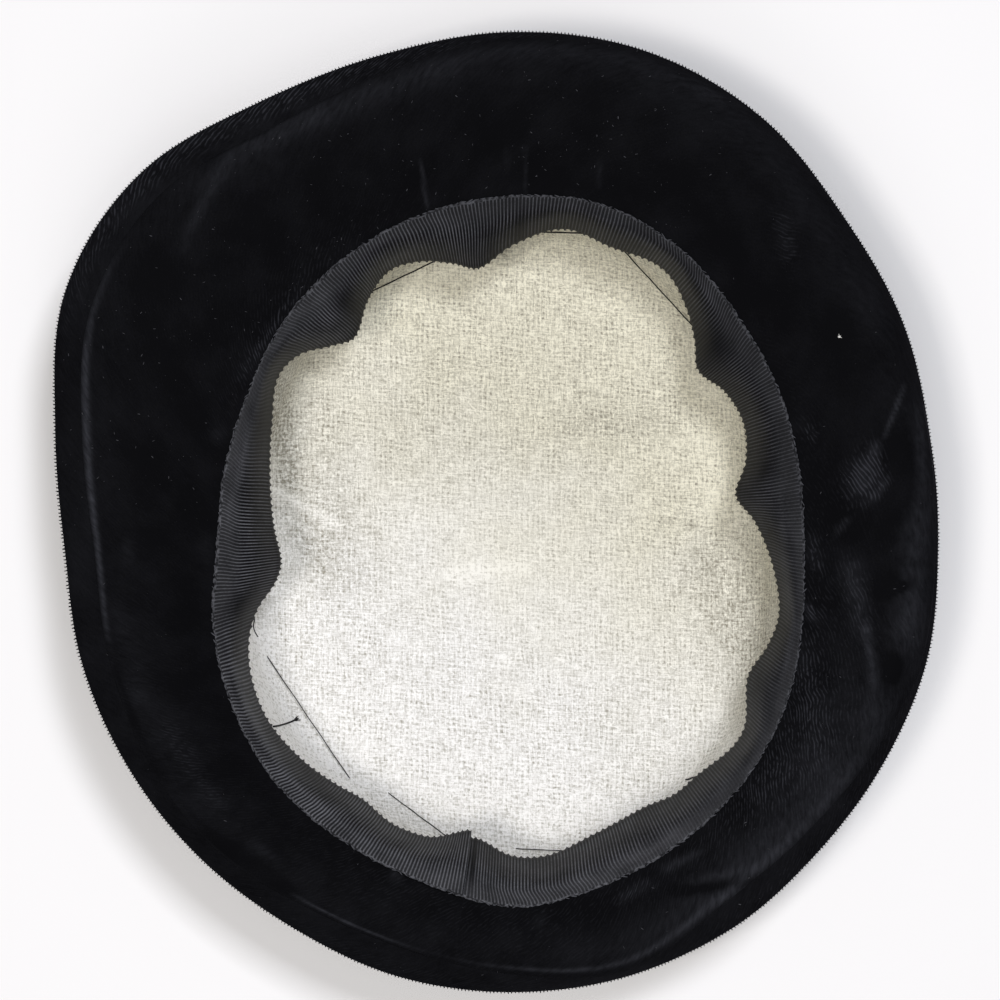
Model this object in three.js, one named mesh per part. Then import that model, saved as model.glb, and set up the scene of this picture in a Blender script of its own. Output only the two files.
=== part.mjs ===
// Saucer hat of black velvet, lying upside down on the flat of its crown.
// Millimetres, +Z up. The head opening faces up and +Y is the front of the hat.
// Angles are degrees round the middle of the head opening, anticlockwise from +X.
import * as THREE from "three";

// Crown
const CROWN_DEPTH = 55; // inside, from the head opening down to the tip
const TIP_CORNER = 11; // inside radius between the crown's side and its tip
const SIDE_TAPER = 4; // how far the side has come in where that corner begins
const STRAIGHT_SIDE = 26; // depth over which the side stays upright
const STRAIGHT_TAPER = 0.4;

// Cloth
const BUCKRAM = 1.2;
const VELVET = 1.8;
const SEAM_GAP = 0.3;
const BRIM_VELVET = 2.15;
const FACING = 2.5;

// Brim
const STRIP = 9.6; // width of the cover's strip outside the facing, measured over the cloth
const CREST_SHARE = 0.24; // how far the crest lies in from the facing's fold, a share of its width
const FOLD_DIP = 0.8; // how far the facing's fold lies below the crest
const DISH = 0.2; // share of the brim's rise that starts straight away at the crown
const FACING_INSET = 1; // from the inside of the crown to the facing's inner edge

// Petersham ribbon round the head opening
const RIBBON_WIDTH = 25;
const RIBBON = 1;
const RIBBON_LAP = 1.6; // how far the ribbon's sewn edge lies over the facing
const RIBBON_EASE = 0.2; // room for the slope of the facing under the ribbon
const RIBBON_BEND = 3; // depth at which the ribbon has turned down into the crown
const RIBBON_SHOULDER = 1; // least distance of that bend from the crown's side
const RIBBON_END = 262; // the ribbon's upper end, at the back of the hat
const RIBBON_OVERLAP = 8; // degrees that its two ends share
const OVERLAP_STEP = 2.2; // how far the upper end leans in past the lower one
const LAP_RUN = 12; // degrees over which the upper end climbs on the lower one

// Facets
const BRIM_SEGMENTS = 72;
const CROWN_SEGMENTS = 60;
const RIBBON_STEPS = 112;
const RIBBON_CELLS = 4;
const RIBBON_CROWDING = 1.5; // above 1, the cells crowd towards the bend at the sewn edge
const CORNER_STEPS = 3;
const ROLL_STEPS = 4;
const DISH_STEPS = 5;

const FULL_TURN = 360;
const INNER_TIP = VELVET + SEAM_GAP + BUCKRAM;
const OPENING_Z = INNER_TIP + CROWN_DEPTH;
const ROLL = SEAM_GAP / 2 + BRIM_VELVET;

// The brim at each angle: the radius of the ribbon's sewn edge, the brim's reach, how far its crest
// rises above the head opening, and how wide the outer strip looks from above.
const BRIM = [
  { angle: 0, seam: 77.6, reach: 113.9, rise: 11, strip: 3.2 },
  { angle: 15, seam: 79.1, reach: 115.6, rise: 11, strip: 3 },
  { angle: 30, seam: 82.2, reach: 120.5, rise: 11.5, strip: 3 },
  { angle: 45, seam: 85.8, reach: 125.1, rise: 12, strip: 3 },
  { angle: 60, seam: 91, reach: 132.8, rise: 12.5, strip: 3 },
  { angle: 75, seam: 94.4, reach: 137.2, rise: 13, strip: 3.4 },
  { angle: 90, seam: 93.7, reach: 137.5, rise: 13.5, strip: 4.2 },
  { angle: 105, seam: 92, reach: 135.6, rise: 14, strip: 7 },
  { angle: 120, seam: 89.3, reach: 135.9, rise: 14, strip: 9 },
  { angle: 135, seam: 85.8, reach: 139.9, rise: 14, strip: 9 },
  { angle: 150, seam: 81.6, reach: 136.8, rise: 13.5, strip: 9 },
  { angle: 165, seam: 79.5, reach: 125.8, rise: 12.5, strip: 8.8 },
  { angle: 180, seam: 78.8, reach: 119, rise: 12, strip: 9 },
  { angle: 195, seam: 82.6, reach: 118.6, rise: 11.5, strip: 8.6 },
  { angle: 210, seam: 85.9, reach: 118.1, rise: 11, strip: 7.5 },
  { angle: 225, seam: 88.9, reach: 117.7, rise: 10, strip: 7 },
  { angle: 240, seam: 90.3, reach: 117.3, rise: 8.5, strip: 8.3 },
  { angle: 255, seam: 92, reach: 118.6, rise: 7, strip: 9 },
  { angle: 270, seam: 95.7, reach: 119.3, rise: 6.5, strip: 7.3 },
  { angle: 285, seam: 93.2, reach: 119.4, rise: 6.5, strip: 4.8 },
  { angle: 300, seam: 90.4, reach: 117.5, rise: 7.5, strip: 8.5 },
  { angle: 315, seam: 87.5, reach: 115.2, rise: 9, strip: 7.8 },
  { angle: 330, seam: 84, reach: 114.7, rise: 10, strip: 6.4 },
  { angle: 345, seam: 79.8, reach: 114.9, rise: 10.5, strip: 4 },
];

// The ribbon's free edge, a row for each fold and lobe: how far it leans in from the sewn edge.
const RIBBON_FOLDS = [
  { angle: 0, lean: 7.7 },
  { angle: 6, lean: 11 },
  { angle: 13, lean: 16 },
  { angle: 20, lean: 11.8 },
  { angle: 28, lean: 9.8 },
  { angle: 36, lean: 11.4 },
  { angle: 44, lean: 15.2 },
  { angle: 48, lean: 11.8 },
  { angle: 54, lean: 7.7 },
  { angle: 61, lean: 4.7 },
  { angle: 72, lean: 7.4 },
  { angle: 81, lean: 6.2 },
  { angle: 90, lean: 11.1 },
  { angle: 97, lean: 16.4 },
  { angle: 102, lean: 13.1 },
  { angle: 108, lean: 9.3 },
  { angle: 114, lean: 7.6 },
  { angle: 120, lean: 10.6 },
  { angle: 127, lean: 16.1 },
  { angle: 132, lean: 12.5 },
  { angle: 138, lean: 6.2 },
  { angle: 144, lean: 3.6 },
  { angle: 153, lean: 6.8 },
  { angle: 165, lean: 10.6 },
  { angle: 176, lean: 13.2 },
  { angle: 185, lean: 16.1 },
  { angle: 189, lean: 14.9 },
  { angle: 194, lean: 10.1 },
  { angle: 200, lean: 6.6 },
  { angle: 213, lean: 4.4 },
  { angle: 225, lean: 6.5 },
  { angle: 234, lean: 8.5 },
  { angle: 240, lean: 9.5 },
  { angle: 248, lean: 6.9 },
  { angle: 254, lean: 7 },
  { angle: 263, lean: 15.1 },
  { angle: 270, lean: 10.8 },
  { angle: 276, lean: 9.6 },
  { angle: 287, lean: 11 },
  { angle: 297, lean: 10.7 },
  { angle: 303, lean: 8.4 },
  { angle: 309, lean: 7.8 },
  { angle: 321, lean: 4.7 },
  { angle: 331, lean: 9.7 },
  { angle: 339, lean: 5.9 },
  { angle: 345, lean: 3.9 },
  { angle: 352, lean: 4.9 },
];

// Soft dents and swellings of the brim: the angle and radius of the middle, how deep it is, and how
// far it spreads round the brim and across it.
const DENTS = [
  { angle: -6, radius: 103, depth: 1.8, round: 7, across: 7 },
  { angle: 15, radius: 102, depth: 1.4, round: 5, across: 9 },
  { angle: 9, radius: 106, depth: -1.3, round: 5, across: 8 },
  { angle: -18, radius: 104, depth: -1.2, round: 6, across: 7 },
  { angle: -42, radius: 101, depth: 1, round: 9, across: 6 },
  { angle: 146, radius: 118, depth: 1.6, round: 9, across: 9 },
  { angle: 200, radius: 104, depth: 1.2, round: 12, across: 7 },
  { angle: 244, radius: 103, depth: 0.9, round: 10, across: 5 },
];

// Smooth reading of a table that goes once round the hat.
function roundTheHat(rows) {
  const columns = Object.keys(rows[0]).filter((name) => name !== "angle");
  const closed = [...rows, { ...rows[0], angle: FULL_TURN }];
  const curve = new THREE.CubicInterpolant(
    closed.map((row) => row.angle),
    closed.flatMap((row) => columns.map((name) => row[name])),
    columns.length,
    new Float64Array(columns.length),
  );
  curve.settings = { endingStart: THREE.WrapAroundEnding, endingEnd: THREE.WrapAroundEnding };
  return (angle) => {
    const values = curve.evaluate(THREE.MathUtils.euclideanModulo(angle, FULL_TURN));
    return Object.fromEntries(columns.map((name, i) => [name, values[i]]));
  };
}

const brimAt = roundTheHat(BRIM);
const ribbonAt = roundTheHat(RIBBON_FOLDS);

function crownRadius(angle) {
  return brimAt(angle).seam - RIBBON_LAP;
}

function foldRadius(angle) {
  const { reach, strip } = brimAt(angle);
  return reach - strip;
}

function crestRadius(angle) {
  const fold = foldRadius(angle);
  return fold - CREST_SHARE * (fold - crownRadius(angle));
}

function dentAt(angle, radius) {
  return DENTS.reduce((sum, dent) => {
    const apart = angle - dent.angle + FULL_TURN / 2;
    const turn = THREE.MathUtils.euclideanModulo(apart, FULL_TURN) - FULL_TURN / 2;
    const away = Math.hypot(turn / dent.round, (radius - dent.radius) / dent.across);
    return sum - dent.depth * Math.exp(-away * away);
  }, 0);
}

// Height of the brim's middle layer: a shallow dish up to the crest, which then falls to the edge.
function brimHeight(angle, radius) {
  const { reach, rise, strip } = brimAt(angle);
  const inner = crownRadius(angle);
  const edge = reach - ROLL;
  const crest = crestRadius(angle);
  const dent = dentAt(angle, radius);
  if (radius <= crest) {
    const share = (radius - inner) / (crest - inner);
    const bowl = share * share * (3 - 2 * share);
    return OPENING_Z + rise * (DISH * share * (2 - share) + (1 - DISH) * bowl) + dent;
  }
  const drop = FOLD_DIP + Math.sqrt(STRIP * STRIP - strip * strip);
  const fall = (radius - crest) / (edge - crest);
  return OPENING_Z + rise - drop * fall * fall + dent;
}

// A point beside the brim's middle layer, above it where the offset is positive.
function besideBrim(angle, radius, offset) {
  const reachOfSlope = 0.5;
  const inner = brimHeight(angle, radius - reachOfSlope);
  const outer = brimHeight(angle, radius + reachOfSlope);
  const across = new THREE.Vector2(2 * reachOfSlope, outer - inner).normalize();
  return new THREE.Vector2(
    radius - across.y * offset,
    brimHeight(angle, radius) + across.x * offset,
  );
}

function crownLine(angle, outward) {
  const side = crownRadius(angle);
  const flat = side - SIDE_TAPER - TIP_CORNER;
  const line = [new THREE.Vector2(0, INNER_TIP - outward)];
  for (let i = 0; i <= CORNER_STEPS; i++) {
    const turn = ((i / CORNER_STEPS) * Math.PI) / 2;
    const radius = TIP_CORNER + outward;
    line.push(
      new THREE.Vector2(
        flat + radius * Math.sin(turn),
        INNER_TIP + TIP_CORNER - radius * Math.cos(turn),
      ),
    );
  }
  line.push(new THREE.Vector2(side - STRAIGHT_TAPER + outward, OPENING_Z - STRAIGHT_SIDE));
  line.push(new THREE.Vector2(side + outward, OPENING_Z - SEAM_GAP));
  return line;
}

function shellSection(angle, inside, thickness) {
  return [...crownLine(angle, inside + thickness), ...crownLine(angle, inside).reverse()];
}

function foundationSection(angle) {
  return shellSection(angle, 0, BUCKRAM);
}

function crownCoverSection(angle) {
  return shellSection(angle, BUCKRAM + SEAM_GAP, VELVET);
}

// Radii at which the brim is cut, from an inner edge over the crest to an outer one.
function brimRadii(angle, from, to) {
  const fold = foldRadius(angle);
  const crest = crestRadius(angle);
  const radii = [];
  for (let i = 0; i <= DISH_STEPS; i++) {
    radii.push(from + ((crest - from) * i) / DISH_STEPS);
  }
  radii.push((crest + fold) / 2);
  if (to > fold) {
    radii.push(fold);
  }
  radii.push(to);
  return radii;
}

function facingSection(angle) {
  const fold = foldRadius(angle);
  const from = crownRadius(angle) + FACING_INSET;
  const hem = FACING / 2;
  const radii = brimRadii(angle, from + hem / 2, fold - hem);
  const under = SEAM_GAP / 2;
  const lower = radii.map((radius) => besideBrim(angle, radius, under));
  const upper = radii.map((radius) => besideBrim(angle, radius, under + FACING)).reverse();
  const foldEdge = besideBrim(angle, fold, under + hem);
  const innerEdge = besideBrim(angle, from, under + hem);
  return [...lower, foldEdge, ...upper, innerEdge];
}

function brimCoverSection(angle) {
  const edge = brimAt(angle).reach - ROLL;
  const from = crownRadius(angle) + BUCKRAM + VELVET + 2 * SEAM_GAP;
  const radii = brimRadii(angle, from, edge);
  const under = SEAM_GAP / 2;
  const outside = radii.map((radius) => besideBrim(angle, radius, -ROLL));
  const inside = radii.map((radius) => besideBrim(angle, radius, -under)).reverse();
  const centre = new THREE.Vector2(edge, brimHeight(angle, edge));
  const start = outside.at(-1).clone().sub(centre);
  const roll = [];
  for (let i = 1; i < ROLL_STEPS; i++) {
    const turned = start.clone().rotateAround(new THREE.Vector2(), (i * Math.PI) / ROLL_STEPS);
    roll.push(turned.add(centre));
  }
  const tuck = foldRadius(angle) + SEAM_GAP;
  const hem = Math.min(BRIM_VELVET / 2, (edge - tuck) / 2);
  return [
    ...outside,
    ...roll,
    besideBrim(angle, edge, ROLL),
    besideBrim(angle, tuck + hem, ROLL),
    besideBrim(angle, tuck, (ROLL + under) / 2),
    besideBrim(angle, tuck + hem, under),
    besideBrim(angle, edge, under),
    ...inside,
  ];
}

// A piece that goes round the hat: a lathe of one section, set to the hat's own section at each angle.
function ringPiece(name, sectionAt, segments, material) {
  const sections = [];
  for (let step = 0; step < segments; step++) {
    const section = sectionAt((FULL_TURN * step) / segments);
    const endsOnAxis = section[0].x === 0;
    sections.push(endsOnAxis ? section : [...section, section[0]]);
  }
  const geometry = new THREE.LatheGeometry(sections[0], segments);
  const position = geometry.attributes.position;
  const points = sections[0].length;
  for (let i = 0; i < position.count; i++) {
    const step = Math.floor(i / points) % segments;
    const point = sections[step][i % points];
    const turn = (2 * Math.PI * step) / segments;
    position.setXYZ(i, point.x * Math.cos(turn), point.x * Math.sin(turn), point.y);
  }
  geometry.computeVertexNormals();
  const mesh = new THREE.Mesh(geometry, material);
  mesh.name = name;
  return mesh;
}

// The ribbon's course across its width, from the sewn edge on the facing to the free edge.
function ribbonCourse(angle, lean) {
  const side = crownRadius(angle);
  const sewn = side + RIBBON_LAP;
  const facingTop = brimHeight(angle, sewn) + SEAM_GAP / 2 + FACING;
  const top = facingTop + SEAM_GAP + RIBBON_EASE + RIBBON / 2;
  const free = sewn - lean;
  const deep = top - Math.sqrt(RIBBON_WIDTH * RIBBON_WIDTH - lean * lean);
  return new THREE.CubicBezierCurve(
    new THREE.Vector2(sewn, top),
    new THREE.Vector2(Math.min(side - RIBBON_SHOULDER, (side + free) / 2), top + RIBBON / 3),
    new THREE.Vector2(free + (side - free) / 3, top - RIBBON_BEND),
    new THREE.Vector2(free, deep),
  );
}

function sweatband(material) {
  const geometry = new THREE.BoxGeometry(1, 1, 1, RIBBON_STEPS, RIBBON_CELLS, 1);
  const position = geometry.attributes.position;
  const start = RIBBON_END - RIBBON_OVERLAP;
  const length = FULL_TURN + RIBBON_OVERLAP;
  for (let i = 0; i < position.count; i++) {
    const angle = start + (position.getX(i) + 0.5) * length;
    const climb = THREE.MathUtils.smoothstep(angle, start + FULL_TURN - LAP_RUN, start + FULL_TURN);
    const tucked = 1 - THREE.MathUtils.smoothstep(angle, RIBBON_END, RIBBON_END + LAP_RUN);
    const lean = ribbonAt(angle).lean + (OVERLAP_STEP / 2) * (climb - tucked);
    const course = ribbonCourse(angle, lean);
    const share = (position.getY(i) + 0.5) ** RIBBON_CROWDING;
    const point = course.getPoint(share);
    const along = course.getTangent(share);
    const lift = position.getZ(i) * RIBBON + climb * (RIBBON + SEAM_GAP);
    const radius = point.x + along.y * lift;
    const turn = THREE.MathUtils.degToRad(angle);
    position.setXYZ(i, radius * Math.cos(turn), radius * Math.sin(turn), point.y - along.x * lift);
  }
  geometry.computeVertexNormals();
  const mesh = new THREE.Mesh(geometry, material);
  mesh.name = "sweatband";
  return mesh;
}

const velvet = new THREE.MeshStandardMaterial({ color: 0x0c0b0e, roughness: 0.95, metalness: 0 });
const buckram = new THREE.MeshStandardMaterial({ color: 0xd8d3c2, roughness: 0.9, metalness: 0 });
const petersham = new THREE.MeshStandardMaterial({ color: 0x26262a, roughness: 0.7, metalness: 0 });

const crown = new THREE.Group();
crown.add(ringPiece("crown_cover", crownCoverSection, CROWN_SEGMENTS, velvet));
crown.add(ringPiece("crown_foundation", foundationSection, CROWN_SEGMENTS, buckram));

const brim = new THREE.Group();
brim.add(ringPiece("brim_cover", brimCoverSection, BRIM_SEGMENTS, velvet));
brim.add(ringPiece("brim_facing", facingSection, BRIM_SEGMENTS, velvet));

// The hat stands on the flat of its crown, with the middle of its outline over the origin.
const hat = new THREE.Group();
hat.add(crown, brim, sweatband(petersham));
const outline = new THREE.Box3().setFromObject(hat);
const middle = outline.getCenter(new THREE.Vector3());
hat.position.set(-middle.x, -middle.y, -outline.min.z);

export default hat;
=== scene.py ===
# Saucer hat of black velvet with a buckram crown shell and a petersham ribbon, lying upside down on
# its crown. Sizes are millimetres and are turned to metres where a mesh is placed.
import functools
import math

import bmesh
import bpy
import numpy as np
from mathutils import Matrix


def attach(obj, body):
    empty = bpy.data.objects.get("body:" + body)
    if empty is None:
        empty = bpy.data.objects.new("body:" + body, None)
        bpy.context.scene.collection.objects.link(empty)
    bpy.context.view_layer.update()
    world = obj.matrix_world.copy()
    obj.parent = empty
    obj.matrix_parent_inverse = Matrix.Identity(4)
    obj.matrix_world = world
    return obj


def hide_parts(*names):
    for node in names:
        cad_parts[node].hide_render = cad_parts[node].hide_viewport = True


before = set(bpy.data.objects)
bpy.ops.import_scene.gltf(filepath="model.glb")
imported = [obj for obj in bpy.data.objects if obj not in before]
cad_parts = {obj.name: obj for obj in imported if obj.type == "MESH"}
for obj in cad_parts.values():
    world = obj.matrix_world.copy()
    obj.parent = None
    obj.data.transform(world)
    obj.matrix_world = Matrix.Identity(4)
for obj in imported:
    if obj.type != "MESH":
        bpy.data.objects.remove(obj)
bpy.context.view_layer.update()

# Camera: the hat is seen straight from above, from about 85 cm over its head opening, with the front
# of the hat at the top of the picture.
MM = 0.001
HEAD = (4.773, -10.018)  # the middle of the head opening, in the frame
INNER_TIP = 3.3  # the inside of the crown's tip, above the floor
CROWN_DEPTH = 55
OPENING_Z = INNER_TIP + CROWN_DEPTH
CAMERA_ABOVE = (1.396, 2.658)
CAMERA_REACH = 850  # from the head opening up to the camera
PIXEL = 0.268  # what one pixel of the picture covers at the head opening
PIXELS = 1000
SENSOR = 36


def put(name, data):
    """Puts data in the scene as an object."""
    made = bpy.data.objects.new(name, data)
    bpy.context.scene.collection.objects.link(made)
    return made


camera_data = bpy.data.cameras.new("camera")
camera_data.sensor_width = SENSOR
camera_data.lens = SENSOR * CAMERA_REACH / (PIXEL * PIXELS)
camera_data.clip_start = 0.05
camera_data.clip_end = 20
camera = put("camera", camera_data)
camera.location = (CAMERA_ABOVE[0] * MM, CAMERA_ABOVE[1] * MM, (OPENING_Z + CAMERA_REACH) * MM)
bpy.context.scene.camera = camera
bpy.context.scene.view_settings.view_transform = "Standard"

# Crown foundation: the shell that gives the crown its shape. It is buckram, an open plain weave of
# cotton stiffened with starch, blocked to shape while damp, so its threads run on from the tip up
# the side. It carries the velvet on its outside and the brim and the ribbon round its edge.
BUCKRAM = 1.2
SEAM_GAP = 0.3  # between two layers of cloth, in place of their stitching
TIP_CORNER = 11  # inside radius between the crown's side and its tip
SIDE_TAPER = 4  # how much narrower the side is at the tip than at the opening
TAPER_CURVE = 4.4  # how soon the side turns upright above the tip
RIBBON_LAP = 1.6  # how far the ribbon's sewn edge lies outside the crown's side
CROWN_STEPS = 240  # points round the crown
THREAD_PITCH = 1.5  # from one thread of the buckram to the next
WEFT_SLOPE = math.tan(math.radians(9))  # the weft runs down to the right, off the square


def table(columns, rows):
    """The rows of a table, each with its values under the names of the columns."""
    names = columns.split()
    return [dict(zip(names, row)) for row in rows]


# The brim round the hat: radius of the ribbon's sewn edge, radius of the brim's own edge, how high its
# crest stands over the opening, and width of the cover's strip outside the fold, seen from above.
BRIM = table("angle seam reach rise strip", [
    (0, 77.6, 113.9, 11, 3.2),
    (15, 79.1, 115.6, 11, 3),
    (30, 82.2, 120.5, 11.5, 3),
    (45, 85.8, 125.1, 12, 3),
    (60, 91, 132.8, 12.5, 3),
    (75, 94.4, 137.2, 13, 3.4),
    (90, 93.7, 137.5, 13.5, 4.2),
    (105, 92, 135.6, 14, 7),
    (120, 89.3, 135.9, 14, 9),
    (135, 85.8, 139.9, 14, 9),
    (150, 81.6, 136.8, 13.5, 9),
    (165, 79.5, 125.8, 12.5, 8.8),
    (180, 78.8, 119, 12, 9),
    (195, 82.6, 118.6, 11.5, 8.6),
    (210, 85.9, 118.1, 11, 7.5),
    (225, 88.9, 117.7, 10, 7),
    (240, 90.3, 117.3, 8.5, 8.3),
    (255, 92, 118.6, 7, 9),
    (270, 95.7, 119.3, 6.5, 7.3),
    (285, 93.2, 119.4, 6.5, 4.8),
    (300, 90.4, 117.5, 7.5, 8.5),
    (315, 87.5, 115.2, 9, 7.8),
    (330, 84, 114.7, 10, 6.4),
    (345, 79.8, 114.9, 10.5, 4),
])


def round_the_hat(rows, column):
    """Smooth reading of one column of a table that goes once round the hat."""
    knots = np.array([row["angle"] for row in rows], float)
    values = np.array([row[column] for row in rows], float)
    count = len(rows)

    def read(angle):
        angle = np.mod(angle, 360.0)
        here = np.searchsorted(knots, angle, side="right") - 1
        start = knots[here]
        end = np.where(here + 1 < count, knots[(here + 1) % count], 360.0)
        earlier = np.where(here > 0, knots[here - 1], knots[-1] - 360.0)
        later = np.where(here + 2 < count, knots[(here + 2) % count], knots[(here + 2) % count] + 360.0)
        share = (angle - start) / (end - start)
        before = 0.5 * (end - start) / (start - earlier)
        after = 0.5 * (end - start) / (later - end)
        square, cube = share**2, share**3
        return (
            values[here - 1] * (-before * cube + 2 * before * square - before * share)
            + values[here]
            * ((1 + before) * cube - (1.5 + 2 * before) * square + (before - 0.5) * share + 1)
            + values[(here + 1) % count] * (-(1 + after) * cube + (1.5 + after) * square + 0.5 * share)
            + values[(here + 2) % count] * (after * cube - after * square)
        )

    return read


seam_at = round_the_hat(BRIM, "seam")


def crown_radius(angle):
    return seam_at(angle) - RIBBON_LAP


def crown_line(angle, outward, cells):
    """Radius and height of the crown's wall from the middle of its tip to its edge."""
    tip_cells, corner_cells, side_cells = cells
    side = crown_radius(angle)
    flat = side - SIDE_TAPER - TIP_CORNER
    bend = TIP_CORNER + outward
    tip = np.linspace(0, 1, tip_cells, endpoint=False)
    turn = np.linspace(0, math.pi / 2, corner_cells)
    up = np.linspace(0, 1, side_cells + 1)[1:]
    lean = SIDE_TAPER * (1 - up) ** TAPER_CURVE
    low = INNER_TIP + TIP_CORNER
    radius = np.hstack([flat * tip, flat + bend * np.sin(turn), side - lean + outward])
    height = np.hstack([
        0 * flat + INNER_TIP - outward + 0 * tip,
        0 * flat + low - bend * np.cos(turn),
        0 * flat + low + (OPENING_Z - SEAM_GAP - low) * up,
    ])
    return radius, height


def as_mesh(name, form):
    """Turns a bmesh into a new mesh."""
    mesh = bpy.data.meshes.new(name)
    form.to_mesh(mesh)
    form.free()
    return mesh


def set_mark(mesh, mark, values):
    """Keeps a number at each point of a mesh, for its material to read."""
    values = np.broadcast_to(values, len(mesh.vertices)).astype(np.float32)
    mesh.attributes.new(mark, "FLOAT", "POINT").data.foreach_set("value", values)


def bent_grid(name, points, cloth, marks, fill_ends=False):
    """A grid whose points are put at the given places, with its place on the cloth as a UV map and
    each set of marks as an attribute. Arrays go round the hat first and across it second. Where the
    grid's sides meet they are joined."""
    rounds, stations = points.shape[:2]
    form = bmesh.new()
    bmesh.ops.create_grid(form, x_segments=rounds - 1, y_segments=stations - 1, size=0.5)
    mesh = as_mesh(name, form)
    flat = np.empty(len(mesh.vertices) * 3, np.float32)
    mesh.vertices.foreach_get("co", flat)
    flat = flat.reshape(-1, 3) + 0.5
    here = (
        np.rint(flat[:, 0] * (rounds - 1)).astype(int),
        np.rint(flat[:, 1] * (stations - 1)).astype(int),
    )
    mesh.vertices.foreach_set("co", (points[here] * MM).astype(np.float32).ravel())
    corner = np.empty(len(mesh.loops), np.int32)
    mesh.loops.foreach_get("vertex_index", corner)
    on_cloth = (cloth[here] * MM)[corner].astype(np.float32)
    mesh.uv_layers.new(name="cloth").data.foreach_set("uv", on_cloth.ravel())
    for mark, values in marks.items():
        set_mark(mesh, mark, np.broadcast_to(values, (rounds, stations))[here])
    form = bmesh.new()
    form.from_mesh(mesh)
    bmesh.ops.remove_doubles(form, verts=form.verts, dist=0.002 * MM)
    if fill_ends:
        ends = [edge for edge in form.edges if edge.is_boundary]
        bmesh.ops.holes_fill(form, edges=ends, sides=0)
    bmesh.ops.recalc_face_normals(form, faces=form.faces)
    form.to_mesh(mesh)
    form.free()
    mesh.shade_smooth()
    return mesh


def on_the_hat(angle, radius, height):
    """Points of the frame, in mm, from their angle and radius about the head opening."""
    turn = np.radians(angle)
    x, y = HEAD[0] + radius * np.cos(turn), HEAD[1] + radius * np.sin(turn)
    return np.stack([x, y, height + 0 * turn], axis=-1)


def crown_layer(name, inside, thickness, cells, marks):
    """The mesh of a layer of the crown, out along its inside and back along its outside. Its cloth is
    laid flat from the middle of the tip."""
    turns = np.linspace(0, 360, CROWN_STEPS + 1)[:, None]
    inner = crown_line(turns, inside, cells)
    outer = crown_line(turns, inside + thickness, cells)
    radius, height = (np.hstack([near, far[:, ::-1]]) for near, far in zip(inner, outer))
    along = np.hstack([0 * turns, np.cumsum(np.hypot(np.diff(inner[0]), np.diff(inner[1])), axis=1)])
    along = np.hstack([along, along[:, ::-1]])
    spread = np.stack([along * np.cos(np.radians(turns)), along * np.sin(np.radians(turns))], axis=-1)
    return bent_grid(name, on_the_hat(turns, radius, height), spread, marks)


def place(name, mesh, material):
    """Puts a finished mesh in the scene as a piece of the hat."""
    piece = put(name, mesh)
    mesh.materials.clear()
    mesh.materials.append(material)
    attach(piece, "root")
    return piece


def linear(hex_colour):
    """A colour written as sRGB hex, turned to the linear values that a shader takes."""
    parts = [int(hex_colour[i : i + 2], 16) / 255 for i in (1, 3, 5)]
    return [x / 12.92 if x <= 0.04045 else ((x + 0.055) / 1.055) ** 2.4 for x in parts] + [1]


def fill(sockets, inputs):
    """Sets sockets, given by name or in their order, or links them to the node that a value is from."""
    for key, value in inputs.items() if isinstance(inputs, dict) else enumerate(inputs):
        if isinstance(value, bpy.types.NodeSocket):
            value.id_data.links.new(value, sockets[key])
        else:
            sockets[key].default_value = value


def add_node(tree, kind, inputs, output=0, **settings):
    """Adds one node, with its operation named after its kind, its settings and its links, and returns
    one of its outputs."""
    kind, *operation = kind.split()
    made = tree.nodes.new("ShaderNode" + kind)
    for name, value in [("operation", word) for word in operation] + list(settings.items()):
        setattr(made, name, value)
    fill(made.inputs, inputs)
    return made.outputs[output]


def new_material(name):
    """A material, the function that adds a node to it, and the sockets of its surface."""
    material = bpy.data.materials.new(name)
    material.use_nodes = True
    tree = material.node_tree
    return material, functools.partial(add_node, tree), tree.nodes["Principled BSDF"].inputs


def under_pixel(u, v, height):
    """The point of a given height that a pixel of the picture shows."""
    scale = PIXEL * (CAMERA_REACH + OPENING_Z - height) / CAMERA_REACH
    x = CAMERA_ABOVE[0] + (u - PIXELS / 2) * scale
    y = CAMERA_ABOVE[1] + (PIXELS / 2 - v) * scale
    return np.array([x, y, height])


def run_under(row, height):
    """Where the line between a row's two pixels of the picture starts, and its run from there."""
    first = under_pixel(row["from_u"], row["from_v"], height)
    return first, under_pixel(row["to_u"], row["to_v"], height) - first


# Starched cotton buckram. Slubby off-white threads round small dark holes, which starch and fluff
# close here and there. It is matt, and yellower and darker towards the front and the right, partly
# where it has yellowed with age and partly as painted shade.
THREAD_COLOUR = "#f7f6f5"
HOLE_COLOUR = "#8d897c"
AGED_AND_SHADED_COLOUR = "#e5e1cf"
YELLOWING_AND_SHADE_SLOPES = (4, 8, 0)  # how fast the yellowing and painted shade grow along the frame's axes, a metre
# Creases, matted places and painted light and shade: between two pixels of the picture, the width,
# and how light they look. Dark lines in creases and broad dark marks beside the crown's side are
# painted shade, light marks along the side and under the ribbon's edge are painted light, and a
# few are fluff and matting.
BUCKRAM_CREASES_AND_PAINTED_LIGHT = table("from_u from_v to_u to_v width light", [
    (270, 486, 338, 526, 2.6, 0.3),
    (286, 500, 318, 560, 9, -0.14),
    (272, 380, 290, 478, 7, -0.34),
    (578, 393, 606, 397, 1.6, -0.2),
    (575, 424, 660, 418, 9, -0.16),
    (660, 519, 692, 525, 1.8, -0.24),
    (714, 526, 734, 518, 1.2, -0.16),
    (455, 574, 522, 566, 4.5, 0.22),
    (720, 570, 748, 650, 20, -0.32),
    (706, 440, 722, 515, 11, 0.12),
    (395, 285, 470, 270, 9, 0.12),
    (430, 430, 560, 470, 30, -0.1),
    (330, 730, 560, 800, 26, 0.1),
    (300, 400, 340, 560, 18, -0.2),
    (256, 640, 268, 706, 8, 0.34),
    (272, 716, 344, 792, 8, 0.34),
])


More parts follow.
